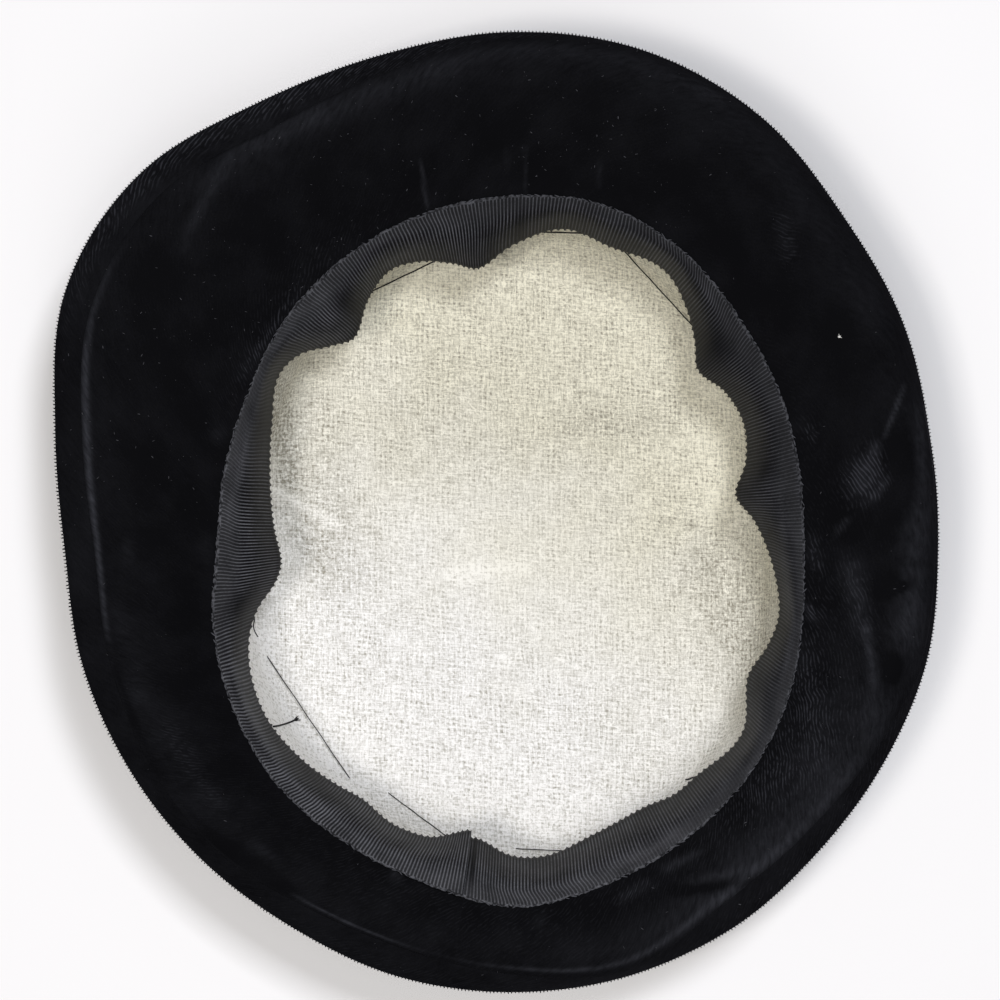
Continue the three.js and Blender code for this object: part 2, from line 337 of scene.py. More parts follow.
def wavering(add, cloth, size, detail, reach):
    """Places on a cloth whose threads aren't quite straight: how long their waves are, and how wide."""
    wander = add("TexNoise", {"Vector": cloth, "Scale": 1 / (size * MM), "Detail": detail}, output=1)
    drift = add("VectorMath SUBTRACT", [wander, (0.5, 0.5, 0.5)])
    drift = add("VectorMath SCALE", {0: drift, "Scale": reach * MM})
    return add("VectorMath ADD", [cloth, drift])


def buckram_material():
    material, add, surface = new_material("starched_buckram")
    cloth = add("UVMap", [], uv_map="cloth")
    # The threads wander and are spun unevenly. Warp and weft pass over each other in turn.
    woven = wavering(add, cloth, 7, 2, 1.6)
    axes = add("SeparateXYZ", [woven]).node.outputs
    sloped = add("Math MULTIPLY_ADD", [axes[0], WEFT_SLOPE, axes[1]])
    counts = []
    waves = []
    for distance in (axes[0], sloped):
        count = add("Math MULTIPLY", [distance, 1 / (THREAD_PITCH * MM)])
        half_turn = add("Math MULTIPLY", [count, math.pi])
        counts.append(count)
        waves.append(add("Math SINE", [half_turn]))
    crossing = add("Math MULTIPLY", waves)
    lattice = add("CombineXYZ", counts)
    thread_heights = []
    fibres = []
    for wave, side, stretch in ((waves[0], 0.4, (4.2, 0.9, 1)), (waves[1], -0.4, (0.9, 4.2, 1))):
        thread = add("Math ABSOLUTE", [wave])
        on_top = add("Math MULTIPLY_ADD", [crossing, side, 1.0])
        thread_heights.append(add("Math MULTIPLY", [thread, on_top]))
        spun = add("VectorMath MULTIPLY", [lattice, stretch])
        fibres.append(add("TexNoise", {"Vector": spun, "Scale": 1.0, "Detail": 3, "Roughness": 0.7}))
    relief = add("Math MAXIMUM", thread_heights)
    warp_on_top = add("MapRange", [crossing, -0.3, 0.3, 0.0, 1.0])
    fibre = add("Mix", {0: warp_on_top, 2: fibres[1], 3: fibres[0]})
    frizz = add(
        "TexNoise", {"Vector": cloth, "Scale": 1 / (0.7 * MM), "Detail": 3, "Roughness": 0.75}
    )
    ragged = add("Math MULTIPLY_ADD", [frizz, 0.9, relief])
    hole = add("MapRange", [ragged, 0.75, 1.45, 1.0, 0.0], interpolation_type="SMOOTHSTEP")
    # Starch and fluff leave each hole as open as it comes, and close whole patches.
    corner = add("VectorMath ADD", [lattice, (0.5, 0.5, 0.5)])
    corner = add("VectorMath FLOOR", [corner])
    each_hole = add("TexWhiteNoise", {"Vector": corner}, noise_dimensions="2D")
    felted = add("TexNoise", {"Vector": cloth, "Scale": 1 / (8 * MM), "Detail": 3})
    openness = add("Math MULTIPLY_ADD", [felted, 2.6, -0.95])
    openness = add("Math MULTIPLY_ADD", [each_hole, 0.75, openness])
    openness = add("MapRange", [openness, 0.2, 1.3, 0.05, 0.33])
    hole = add("Math MULTIPLY", [hole, openness])
    # It is yellower and darker towards the front and the right: partly yellowing with age, partly painted
    # shade.
    place_on_hat = add("TexCoord", [], output=3)
    yellowing_and_shade = add("VectorMath DOT_PRODUCT", [place_on_hat, YELLOWING_AND_SHADE_SLOPES], output=1)
    patches = add("TexNoise", {"Vector": place_on_hat, "Scale": 1 / (30 * MM), "Detail": 3})
    yellowing_and_shade = add("Math MULTIPLY_ADD", [patches, 0.5, yellowing_and_shade])
    yellowed_and_shaded = add("MapRange", [yellowing_and_shade, -0.2, 0.53, 0.0, 1.0])
    thread = add(
        "Mix",
        {0: yellowed_and_shaded, 6: linear(THREAD_COLOUR), 7: linear(AGED_AND_SHADED_COLOUR)},
        output=2,
        data_type="RGBA",
    )
    fluff = add("TexNoise", {"Vector": cloth, "Scale": 1 / (1.1 * MM), "Detail": 3})
    curl = add(
        "TexNoise", {"Vector": cloth, "Scale": 1 / (1.9 * MM), "Detail": 1, "Distortion": 0.6}
    )
    curl = add("Math SUBTRACT", [curl, 0.5])
    curl = add("Math ABSOLUTE", [curl])
    curl = add("MapRange", [curl, 0.0, 0.035, -0.2, 0.04])
    # Long slubs along both threads, where the cloth looks lighter or darker.
    linen = []
    for stretch in ((5, 0.4), (0.4, 5)):
        drawn_out = add(
            "Mapping", {"Vector": woven, "Scale": (1 / (stretch[0] * MM), 1 / (stretch[1] * MM), 1)}
        )
        linen.append(add("TexNoise", {"Vector": drawn_out, "Scale": 1.0, "Detail": 2}))
    linen = add("Math ADD", linen)
    shadow = add("MapRange", [linen, 0.82, 1.18, 0.27, 0.02], clamp=False)
    spun = add("MapRange", [fibre, 0.32, 0.62, 0.23, -0.15], clamp=False)
    matted = add("MapRange", [fluff, 0.34, 0.66, 0.05, -0.02], clamp=False)
    swell = add("TexNoise", {"Vector": cloth, "Scale": 1 / (16 * MM), "Detail": 2})
    # Blocking has drawn the cloth open towards the side of the crown. Its holes and slubs grow
    # stronger there, which also darkens the buckram towards the side as painted shade.
    from_middle = add("VectorMath LENGTH", [cloth], output=1)
    drawn = add("MapRange", [from_middle, 15 * MM, 50 * MM, 1.08, 1.34])
    coarse = add("MapRange", [yellowed_and_shaded, 0.5, 1.0, 1.0, 1.2])
    coarse = add("Math MULTIPLY", [coarse, drawn])
    for part in (hole, spun, matted, curl):
        shadow = add("Math ADD", [shadow, part])
    shadow = add("Math MULTIPLY", [shadow, coarse])
    patchy = add("MapRange", [fluff, 0.4, 0.6, 0.2, 1.5])
    # Painted shade and painted light from the crease table, laid over the weave.
    for row in BUCKRAM_CREASES_AND_PAINTED_LIGHT:
        first, run = (value * MM for value in run_under(row, INNER_TIP))
        flat = add("VectorMath MULTIPLY", [place_on_hat, (1, 1, 0)])
        offset = add("VectorMath SUBTRACT", [flat, (first[0], first[1], 0)])
        measure = tuple(run / (run @ run))
        share = add("VectorMath DOT_PRODUCT", [offset, measure], output=1)
        share = add("Math MULTIPLY", [share, 1.0], use_clamp=True)
        nearest = add("VectorMath SCALE", {0: tuple(run), "Scale": share})
        away = add("VectorMath DISTANCE", [offset, nearest], output=1)
        marked = [away, 0.0, row["width"] * MM, -row["light"], 0.0]
        mark = add("MapRange", marked, interpolation_type="SMOOTHSTEP")
        mark = add("Math MULTIPLY", [mark, patchy])
        shadow = add("Math ADD", [shadow, mark])
    shadow = add("Math MAXIMUM", [shadow, 0.0])
    shadow = add("Math MINIMUM", [shadow, 1.0])
    colour = add("Mix", {0: shadow, 6: thread, 7: linear(HOLE_COLOUR)}, output=2, data_type="RGBA")
    bump = add("Bump", {"Height": ragged, "Strength": 0.55, "Distance": 0.16 * MM})
    bump = add("Bump", {"Height": swell, "Strength": 0.6, "Distance": 1.6 * MM, "Normal": bump})
    fill(surface, {"Base Color": colour, "Normal": bump, "Roughness": 0.9, "Specular IOR Level": 0.2})
    return material


FOUNDATION_CELLS = (26, 8, 18)  # across the tip, round the corner, up the side
mesh = crown_layer("crown_shell", 0, BUCKRAM, FOUNDATION_CELLS, {})
crown_shell = place("crown_shell", mesh, buckram_material())
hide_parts("crown_foundation")

# Crown cover: velvet drawn over the outside of the shell and pasted to it. Velvet is a silk-like
# weave whose cut pile swallows the light seen from above and gives some back where it is brushed
# over, on creases and along folds. The light on creases and folds, and the shade in dents, is
# painted into the pile's colour.
VELVET = 1.8  # with its pile, pressed down
PILE_DARK = "#0c0c0e"
PILE_LIGHT = "#3b3c42"
PILE_SHEEN = "#c9c6d6"
ROW_PITCH = 0.9  # between the rows of tufts


def velvet_material():
    """Black velvet. One attribute says how far the pile is brushed up, with painted highlights and
    painted shade added to it, and the attribute rows how clearly its rows of tufts show, which are
    unbroken above 1. They run along the cloth's first axis."""
    material, add, surface = new_material("black_velvet")
    cloth = add("UVMap", [], uv_map="cloth")
    nap, rows = (add("Attribute", [], output=2, attribute_name=mark) for mark in ("nap", "rows"))
    bent = wavering(add, cloth, 9, 1, 3)
    dashed = add("Mapping", {"Vector": bent, "Scale": (1 / (2.1 * MM), 1 / (0.5 * MM), 1)})
    dash = add("TexNoise", {"Vector": dashed, "Scale": 1.0, "Detail": 1.0})
    axes = add("SeparateXYZ", [bent]).node.outputs
    row = add("Math MULTIPLY", [axes[1], 2 * math.pi / (ROW_PITCH * MM)])
    row = add("Math SINE", [row])
    steady = add("MapRange", [rows, 0.9, 1.6, 0.14, 0.36])
    tuft = add("Math MULTIPLY_ADD", [row, steady, dash])
    tuft = add("MapRange", [tuft, 0.55, 0.76, 0.0, 1.0])
    shown = add("Math MINIMUM", [rows, 1.0])
    tuft = add("Math MULTIPLY", [tuft, shown])
    crumple = add("TexNoise", {"Vector": cloth, "Scale": 1 / (13 * MM), "Detail": 4})
    brushed = add("Mapping", {"Vector": bent, "Scale": (1 / (3.6 * MM), 1 / (1.3 * MM), 1)})
    scuff = add("TexNoise", {"Vector": brushed, "Scale": 1.0, "Detail": 4, "Roughness": 0.6})
    # The pile's own grain is finer than a pixel, and is drawn 0.5 mm wide to show.
    grain = add("TexNoise", {"Vector": cloth, "Scale": 1 / (0.5 * MM), "Detail": 2})
    uneven = add("MapRange", [scuff, 0.3, 0.7, 0.45, 1.55])
    light = add("Math MULTIPLY", [nap, uneven])
    for part, weight in ((tuft, 0.42), (crumple, 0.16), (grain, 0.08)):
        light = add("Math MULTIPLY_ADD", [part, weight, light])
    light = add("MapRange", [light, 0.12, 1.12, 0.0, 1.0])
    colour = add(
        "Mix", {0: light, 6: linear(PILE_DARK), 7: linear(PILE_LIGHT)}, output=2, data_type="RGBA"
    )
    relief = add("Math MULTIPLY_ADD", [tuft, 0.6, grain])
    bump = add("Bump", {"Height": relief, "Strength": 0.5, "Distance": 0.15 * MM})
    fill(surface, {
        "Base Color": colour, "Normal": bump, "Roughness": 0.9, "Specular IOR Level": 0.0,
        "Sheen Weight": 0.025, "Sheen Roughness": 0.35, "Sheen Tint": linear(PILE_SHEEN),
    })
    return material


COVER_CELLS = (12, 8, 18)
velvet = velvet_material()
marks = {"nap": 0, "rows": 0.2}
mesh = crown_layer("crown_velvet", BUCKRAM + SEAM_GAP, VELVET, COVER_CELLS, marks)
crown_velvet = place("crown_velvet", mesh, velvet)
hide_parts("crown_cover")

# Brim cover: one ring of velvet on the upper side of the brim, which is underneath here. It is
# brought round the brim's edge in a soft roll, and its hem shows as a strip outside the facing.
BRIM_VELVET = 2.15  # with its pile
FACING = 2.5  # the facing's velvet, with its pile
STRIP = 9.6  # width of the strip, measured over the cloth
CREST_SHARE = 0.24  # how far in from the fold the brim's crest lies, of the way to the crown
FOLD_DIP = 0.8  # how far the brim falls from its crest to the fold
DISH = 0.2  # how much of the brim's rise comes early, beside the crown
ROLL = SEAM_GAP / 2 + BRIM_VELVET  # radius of the roll at the brim's edge
BRIM_STEPS = 720  # points round the brim
HEM_ROUND = 0.25  # radius of the cloth's turned edges
HEM_GAP = 0.03  # between the cover's hem and the facing's fold
STRIP_SLANT = 40  # degrees by which the rows of the pile turn off the way round the hat
MIDDLE_OF_BRIM = 108  # radius at which the cloth's pattern keeps its true size
CLOTH_ENDS = 262  # the velvet's ends meet at the back of the hat

# Soft dents in the brim, and swellings where the depth is below 0: their middle, and how far they
# spread round the hat, in degrees, and across the brim.
DENTS = table("angle radius depth round across", [
    (-6, 103, 1.8, 7, 7),
    (15, 102, 1.4, 5, 9),
    (9, 106, -1.3, 5, 8),
    (-18, 104, -1.2, 6, 7),
    (-42, 101, 1, 9, 6),
    (146, 118, 1.6, 9, 9),
    (200, 104, 1.2, 12, 7),
    (244, 103, 0.9, 10, 5),
])


def read_round(rows, columns, angle):
    """Several columns of a table that goes once round the hat, read at the same angles."""
    return [round_the_hat(rows, column)(angle) for column in columns.split()]


reach_at = round_the_hat(BRIM, "reach")
rise_at = round_the_hat(BRIM, "rise")
strip_at = round_the_hat(BRIM, "strip")


def fold_radius(angle):
    return reach_at(angle) - strip_at(angle)


def crest_radius(angle):
    fold = fold_radius(angle)
    return fold - CREST_SHARE * (fold - crown_radius(angle))


def apart(angle, other):
    """The angle from one direction to another, from -180 to 180."""
    return np.mod(angle - other + 180, 360) - 180


def dents_at(angle, radius):
    depth = 0 * angle + 0 * radius
    for dent in DENTS:
        away = (apart(angle, dent["angle"]) / dent["round"]) ** 2
        away = away + ((radius - dent["radius"]) / dent["across"]) ** 2
        depth = depth - dent["depth"] * np.exp(-away)
    return depth


def brim_height(angle, radius):
    """Height of the brim's middle layer: a shallow dish up to the crest, then down to the edge."""
    rise, strip = rise_at(angle), strip_at(angle)
    inner, crest = crown_radius(angle), crest_radius(angle)
    edge = reach_at(angle) - ROLL
    share = (radius - inner) / (crest - inner)
    bowl = share * share * (3 - 2 * share)
    dish = rise * (DISH * share * (2 - share) + (1 - DISH) * bowl)
    drop = FOLD_DIP + np.sqrt(STRIP * STRIP - strip * strip)
    fall = (radius - crest) / (edge - crest)
    height = np.where(radius <= crest, dish, rise - drop * fall * fall)
    return OPENING_Z + height + dents_at(angle, radius)


def beside_brim(angle, radius, offset):
    """Radius and height of a point beside the middle layer, above it where the offset is positive."""
    half = 0.5
    slope = brim_height(angle, radius + half) - brim_height(angle, radius - half)
    length = np.hypot(slope, 2 * half)
    height = brim_height(angle, radius) + offset * 2 * half / length
    return radius - offset * slope / length, height


def closed(parts):
    """The line round the section of a ring of cloth, joined from its parts and closed."""
    parts = [*parts, [column[:, :1] for column in parts[0]]]
    return [np.hstack(columns) for columns in zip(*parts)]


def cover_section(angle):
    """Out under the brim, round the roll at its edge, in along the strip and back inside it."""
    edge = reach_at(angle) - ROLL
    start = crown_radius(angle) + BUCKRAM + VELVET + 2 * SEAM_GAP
    hem = fold_radius(angle) + HEM_GAP
    under = SEAM_GAP / 2
    lower = beside_brim(angle, start + (edge - start) * np.linspace(0, 1, 30), -ROLL)
    tilt = np.arctan(brim_height(angle, edge + 0.5) - brim_height(angle, edge - 0.5))
    turn = np.linspace(-math.pi / 2, math.pi / 2, 14)[1:-1] + tilt
    roll = edge + ROLL * np.cos(turn), brim_height(angle, edge) + ROLL * np.sin(turn)
    inward = hem + HEM_ROUND + (edge - hem - HEM_ROUND) * np.linspace(1, 0, 10)
    upper = beside_brim(angle, inward, ROLL)
    down = np.linspace(0, math.pi / 2, 5)[1:]
    turned_down = ROLL - HEM_ROUND + HEM_ROUND * np.cos(down)
    corner = beside_brim(angle, hem + HEM_ROUND - HEM_ROUND * np.sin(down), turned_down)
    back = beside_brim(angle, hem + (edge - hem) * np.linspace(0, 1, 5), under)
    inner = beside_brim(angle, start + (edge - start) * np.linspace(1, 0, 14), -under)
    return closed([lower, roll, upper, corner, back, inner])


def cloth_round(angle, radius, height, slants):
    """Places on a ring of cloth, along the rows of its pile and across them. The slants are angles in
    degrees by which the rows turn inwards, off the way round the hat."""
    across = np.cumsum(np.hypot(np.diff(radius), np.diff(height)), axis=1)
    across = np.hstack([0 * angle, across])
    round_hat = np.radians(angle) * MIDDLE_OF_BRIM
    drift = np.tan(np.radians(slants)) * np.gradient(round_hat, axis=0)
    turn = np.radians(np.mean(slants))
    along = np.cos(turn) * round_hat + np.sin(turn) * across
    return np.stack([along, np.cos(turn) * (across - np.cumsum(drift, axis=0))], axis=-1)


# How the strip outside the facing looks: how light its pile is, and how clearly the rows show.
STRIP_NAP = table("angle nap rows", [
    (0, 0.08, 0.1), (45, 0.05, 0.15), (85, 0.04, 0.3), (106, 0.05, 1), (128, 0.06, 1.2),
    (142, 0.05, 0.9), (156, 0.04, 0.1), (180, 0.05, 0.05), (210, 0.04, 0.05), (240, 0.04, 0.15),
    (262, 0.05, 0.2), (285, 0.06, 0.2), (310, 0.05, 0.3), (335, 0.05, 0.3),
])
ROWS_FROM_EDGE = 5  # how far in from the edge the strip's rows show
turns = np.linspace(CLOTH_ENDS - 360, CLOTH_ENDS, BRIM_STEPS + 1)[:, None]
radius, height = cover_section(turns)
outermost = np.exp(-(((reach_at(turns) - radius) / ROWS_FROM_EDGE) ** 4))
nap, rows = read_round(STRIP_NAP, "nap rows", turns)
cloth = cloth_round(turns, radius, height, STRIP_SLANT + 0 * turns)
marks = {"nap": nap, "rows": rows * outermost}
mesh = bent_grid("brim_velvet", on_the_hat(turns, radius, height), cloth, marks)
brim_velvet = place("brim_velvet", mesh, velvet)
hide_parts("brim_cover")

# Pile at the brim's edge: where the velvet turns over the edge its rows open, and the tufts stand
# out from the outline like the teeth of a fine comb.
TUFT_ROWS = (-38, -12, 14, 40)  # how far up the roll each row of tufts stands, in degrees
TUFT_PITCH = 0.96  # from tuft to tuft
TUFT_LENGTH = 0.52
TUFT_WIDTH = 0.46
TUFT_FLATNESS = 0.7
TUFT_FOOT = 0.15  # how deep in the cloth a tuft starts
TUFT_NAP = 0.16
OPENED = dict(angle=184, spread=24, longer=0.5)  # where the rows stand furthest apart


def joined(name, small, places):
    """One mesh of many copies of a small shape, each put where its own 3 by 4 matrix says."""
    pattern = as_mesh(name + "_one", small)
    corners = np.array([vertex.co for vertex in pattern.vertices])
    faces = [tuple(face.vertices) for face in pattern.polygons]
    bpy.data.meshes.remove(pattern)
    points = np.einsum("nij,vj->nvi", places[:, :, :3], corners) + places[:, None, :, 3]
    count = len(corners)
    copies = [
        tuple(corner + copy * count for corner in face)
        for copy in range(len(places))
        for face in faces
    ]
    mesh = bpy.data.meshes.new(name)
    mesh.from_pydata((points * MM).reshape(-1, 3).tolist(), [], copies)
    mesh.shade_smooth()
    return mesh


def even_angles(radius_at, pitch, start=0, length=360):
    """Angles a set distance apart, measured along an edge of the hat."""
    fine = np.linspace(start, start + length, 4001)
    radius = radius_at(fine)
    x, y = radius * np.cos(np.radians(fine)), radius * np.sin(np.radians(fine))
    walked = np.hstack([0, np.cumsum(np.hypot(np.diff(x), np.diff(y)))])
    count = round(walked[-1] / pitch)
    return np.interp(np.arange(count) / count * walked[-1], walked, fine)


def unit(ways):
    """Directions, brought to a length of 1."""
    return ways / np.linalg.norm(ways, axis=-1, keepdims=True)


def upright(points, outward, aside, size):
    """Matrices that put a shape at points, its z along outward and its x along aside."""
    outward = unit(outward)
    across = unit(np.cross(outward, aside))
    aside = np.cross(across, outward)
    turned = np.stack([aside * size[0], across * size[1], outward * size[2]], axis=-1)
    return np.concatenate([turned, points[..., None]], axis=-1)


def bell(away, width):
    """How much of a mark is left at a distance from its middle."""
    return np.exp(-((away / width) ** 2))


def level_ways(angle):
    """The level directions straight out from the hat's middle, and on round the hat."""
    turn = np.radians(angle)
    outward = np.stack([np.cos(turn), np.sin(turn), 0 * turn], axis=-1)
    return outward, np.cross((0, 0, 1), outward)


chance = np.random.default_rng(7)
angle = even_angles(reach_at, TUFT_PITCH)
edge = reach_at(angle) - ROLL
level, aside = level_ways(angle)
opened = bell(apart(angle, OPENED["angle"]), OPENED["spread"])
foot = ROLL - TUFT_FOOT
places = []
for degrees in TUFT_ROWS:
    turn = math.radians(degrees) + chance.normal(0, 0.05, len(angle))
    at = on_the_hat(angle, edge + foot * np.cos(turn), brim_height(angle, edge) + foot * np.sin(turn))
    outward = level * np.cos(turn)[:, None] + np.sin(turn)[:, None] * (0, 0, 1)
    outward = outward + aside * chance.normal(0.12, 0.08, len(angle))[:, None]
    tall = TUFT_LENGTH * (1 + OPENED["longer"] * opened) * chance.uniform(0.75, 1.2, len(angle))
    places.append(upright(at, outward, aside, (TUFT_WIDTH, TUFT_WIDTH * TUFT_FLATNESS, tall[:, None])))
tuft = bmesh.new()
bmesh.ops.create_cone(tuft, cap_ends=True, segments=5, radius1=0.5, radius2=0.2, depth=1)
bmesh.ops.translate(tuft, verts=tuft.verts, vec=(0, 0, 0.5))
mesh = joined("brim_edge_pile", tuft, np.concatenate(places))
set_mark(mesh, "nap", TUFT_NAP)
set_mark(mesh, "rows", 0)
mesh.uv_layers.new(name="cloth")
place("brim_edge_pile", mesh, velvet)

# Brim facing: the ring of velvet on the under side of the brim, from the head opening to the fold
# where it meets the cover's hem. It is slip-stitched there, and handling has left it with soft dents,
# creases and places where the pile lies another way.
FACING_INSET = 1  # from the crown's side to the facing's inner edge

# The pile along the fold and the crest: a bright line of this strength, part wear and part painted
# highlight where the fold catches the light, its width and how far it lies in from the fold, and how
# light the soft painted highlight band inside it is.
CREST_WEAR_AND_HIGHLIGHT = table("angle line width inset band", [
    (0, 0, 2, 1, 0.06),
    (20, 0, 2, 1, 0.05),
    (45, 0, 2, 1, 0.06),
    (75, 0.03, 2, 1.5, 0.05),
    (100, 0.04, 2, 1.5, 0.04),
    (118, 0.04, 2.5, 3, 0.03),
    (130, 0.02, 3, 4, 0.03),
    (142, 0.04, 1.2, 0.6, 0.02),
    (150, 0.2, 1, 0.6, 0.02),
    (160, 0.42, 1.1, 0.7, 0.02),
    (172, 0.45, 0.9, 0.6, 0.02),
    (188, 0.3, 0.7, 0.5, 0.02),
    (194, 0.03, 0.8, 0.5, 0.03),
    (215, 0, 1, 0.5, 0.03),
    (237, 0.02, 0.6, 0.5, 0.02),
    (241, 0.3, 0.34, 0.5, 0.02),
    (251, 0.3, 0.34, 0.5, 0.02),
    (256, 0.06, 0.4, 0.5, 0.02),
    (274, 0.24, 0.6, 0.5, 0.03),
    (288, 0.3, 0.9, 0.7, 0.08),
    (302, 0.22, 1.4, 1, 0.14),
    (318, 0.16, 1.8, 1, 0.14),
    (334, 0.06, 2, 1, 0.08),
])
# Creases, dents and brushed patches, as strokes between two pixels of the picture: their width, how
# far they rise, how much lighter or darker their pile is, and how clearly its rows show. The lighter
# pile along raised creases is painted highlight and the darker pile in dents and grooves painted
# shade; elsewhere it is brushed pile.
STROKES = table("from_u from_v to_u to_v width rise nap rows", [
    (904, 384, 883, 438, 0.55, 0.4, 0.3, 0),
    (878, 442, 872, 456, 1.3, 0.3, 0.2, 0),
    (872, 456, 857, 494, 3.6, 0.3, 0.16, 2.6),
    (892, 475, 868, 502, 1.3, 0, 0.14, 0.6),
    (850, 518, 836, 533, 1.1, 0, 0.1, 0.3),
    (920, 404, 924, 490, 2, 0.3, 0.17, 0),
    (925, 490, 916, 560, 3.8, 0, 0.16, 0),
    (901, 440, 898, 510, 4, -0.5, -0.16, -0.2),
    (850, 560, 862, 632, 3, 0.3, 0.16, 0.6),
    (896, 582, 900, 594, 4.4, -0.6, -0.26, -0.4),
    (914, 566, 904, 650, 4.4, 0.2, 0.17, 0.1),
    (896, 652, 890, 684, 3.4, -0.3, -0.12, -0.1),
    (810, 424, 815, 440, 1.6, 0, 0.03, 0.8),
    (813, 536, 820, 572, 1.6, 0, 0.05, 0.9),
    (808, 604, 818, 622, 1.4, 0, 0.12, 1),
    (865, 624, 873, 690, 1.4, 0.5, 0.22, 0),
    (874, 690, 866, 728, 2.6, 0.2, 0.08, 0),
    (806, 650, 818, 762, 4, 0, 0.04, 0.6),
    (795, 765, 752, 812, 4, 0, 0.03, 0.6),
    (852, 640, 846, 700, 4, 0, 0.05, 0.1),
    (672, 893, 772, 879, 1.5, -0.4, -0.16, 0),
    (690, 882, 762, 866, 1.2, 0.3, 0.1, 0),
    (664, 872, 704, 852, 1.1, 0.3, 0.15, 0.2),
    (700, 905, 762, 890, 1.4, 0.2, 0.07, 0),
    (618, 902, 652, 884, 1.6, 0.2, 0.08, 0.5),
    (394, 872, 396, 884, 1.6, 0.6, 0.12, 0),
    (536, 920, 545, 924, 2.4, 0, 0.05, 0.2),
    (116, 600, 150, 700, 2.6, 0.2, 0.04, 0),
    (128, 680, 145, 702, 2, 0, 0.04, 0.1),
    (166, 724, 196, 772, 3, 0, 0.03, 0.35),
    (198, 776, 224, 806, 2.4, 0, 0.03, 0.3),
    (252, 841, 276, 858, 1.4, 0.2, 0.06, 0),
    (203, 832, 292, 893, 2.2, -0.5, -0.1, -0.1),
    (213, 428, 217, 440, 2, 0, 0.08, 0),
    (130, 540, 130, 566, 1.6, 0, 0.06, 0),
    (205, 535, 205, 565, 1.8, 0, 0.05, 0),
    (452, 66, 330, 112, 4, 0.2, 0.07, 0),
    (840, 700, 800, 790, 7, 0, 0.05, 0.3),
    (330, 112, 288, 131, 4, 0.3, 0.11, 0),
    (288, 131, 234, 154, 2.6, 0.4, 0.12, 0),
    (234, 154, 208, 200, 2, 0.4, 0.1, 0),
    (208, 200, 190, 234, 1.6, 0.3, 0.12, 0),
    (190, 234, 186, 256, 1.4, 0.1, 0.05, 0),
    (312, 98, 238, 136, 1.3, -0.4, -0.14, 0),
    (420, 82, 480, 56, 3.4, 0, 0.07, 0),
    (480, 54, 620, 53, 3, 0, 0.06, 0),
    (620, 56, 742, 106, 3.6, 0, 0.06, 0),
    (700, 88, 722, 102, 1.4, 0, 0.1, 0),
    (238, 374, 300, 287, 1.3, 0, 0.04, 1),
    (420, 160, 427, 206, 0.45, 0.25, 0.24, 0),
    (779, 216, 790, 262, 2.4, 0, 0.05, 0.5),
    (525, 145, 526, 192, 0.5, 0.2, 0.1, 0),
    (600, 157, 599, 186, 0.5, 0.2, 0.08, 0),
    (507, 148, 508, 172, 0.5, 0.15, 0.07, 0),
])
STROKE_HEIGHT = OPENING_Z + 10  # where the strokes' pixels meet the brim
# How clearly the rows of the pile show near the ribbon and across the rest of the facing, and by how
# many degrees they turn inwards off the way round the hat.
FACING_ROWS = table("angle near far slant", [
    (0, 0.2, 0.04, 22), (15, 0.14, 0.02, 20), (40, 0.06, 0.02, 34), (100, 0.05, 0.04, 42),
    (128, 0.3, 0.04, 42), (145, 0.3, 0.04, 42), (160, 0.1, 0.04, 44), (180, 0.06, 0.06, 44),
    (215, 0.08, 0.08, 50), (245, 0.25, 0.1, 44), (275, 0.25, 0.1, 42), (300, 0.4, 0.12, 44),
    (318, 0.85, 0.14, 44), (338, 0.7, 0.12, 38),
])
NEAR_THE_RIBBON = 8  # how far out from the ribbon "near" reaches
RIBBON_SHADE_REACH = 1.4  # how far out from the ribbon's edge painted shade hides the pile's rows
RIBBON_SHADE_STRENGTH = 0.8  # and how much of the rows it hides
FACING_NAP = 0.01
BAND_INSET = 3.5  # how far in from the fold the soft painted highlight band lies
BAND_WIDTH = 6.5


def strokes_at(column, angle, radius):
    """Sum of the strokes, each strongest along its middle and fading out to both sides."""
    turn = np.radians(angle)
    x, y = HEAD[0] + radius * np.cos(turn), HEAD[1] + radius * np.sin(turn)
    total = 0 * x
    for row in STROKES:
        first, run = run_under(row, STROKE_HEIGHT)
        share = ((x - first[0]) * run[0] + (y - first[1]) * run[1]) / (run @ run)
        share = np.clip(share, 0, 1)
        away = np.hypot(x - first[0] - share * run[0], y - first[1] - share * run[1])
        taper = 0.3 + 0.7 * np.sqrt(4 * share * (1 - share))
        total = total + row[column] * taper * bell(away, row["width"])
    return total


def facing_section(angle):
    """A layer with rounded edges: in along its top, round the inner edge, out underneath."""
    start = crown_radius(angle) + FACING_INSET
    fold = fold_radius(angle)
    hem = FACING / 2
    under = SEAM_GAP / 2
    top_radius = start + hem + (fold - HEM_ROUND - start - hem) * np.linspace(1, 0, 64)
    top = beside_brim(angle, top_radius, under + FACING + strokes_at("rise", angle, top_radius))
    turn = np.linspace(math.pi / 2, 3 * math.pi / 2, 8)[1:-1]
    inner = beside_brim(angle, start + hem + hem * np.cos(turn), under + hem + hem * np.sin(turn))
    low = beside_brim(angle, start + hem + (fold - start - hem) * np.linspace(0, 1, 14), under)
    turn = np.linspace(0, math.pi / 2, 6)[:-1]
    rounded = under + FACING - HEM_ROUND + HEM_ROUND * np.sin(turn)
    outer = beside_brim(angle, fold - HEM_ROUND + HEM_ROUND * np.cos(turn), rounded)
    return closed([top, inner, low, outer])


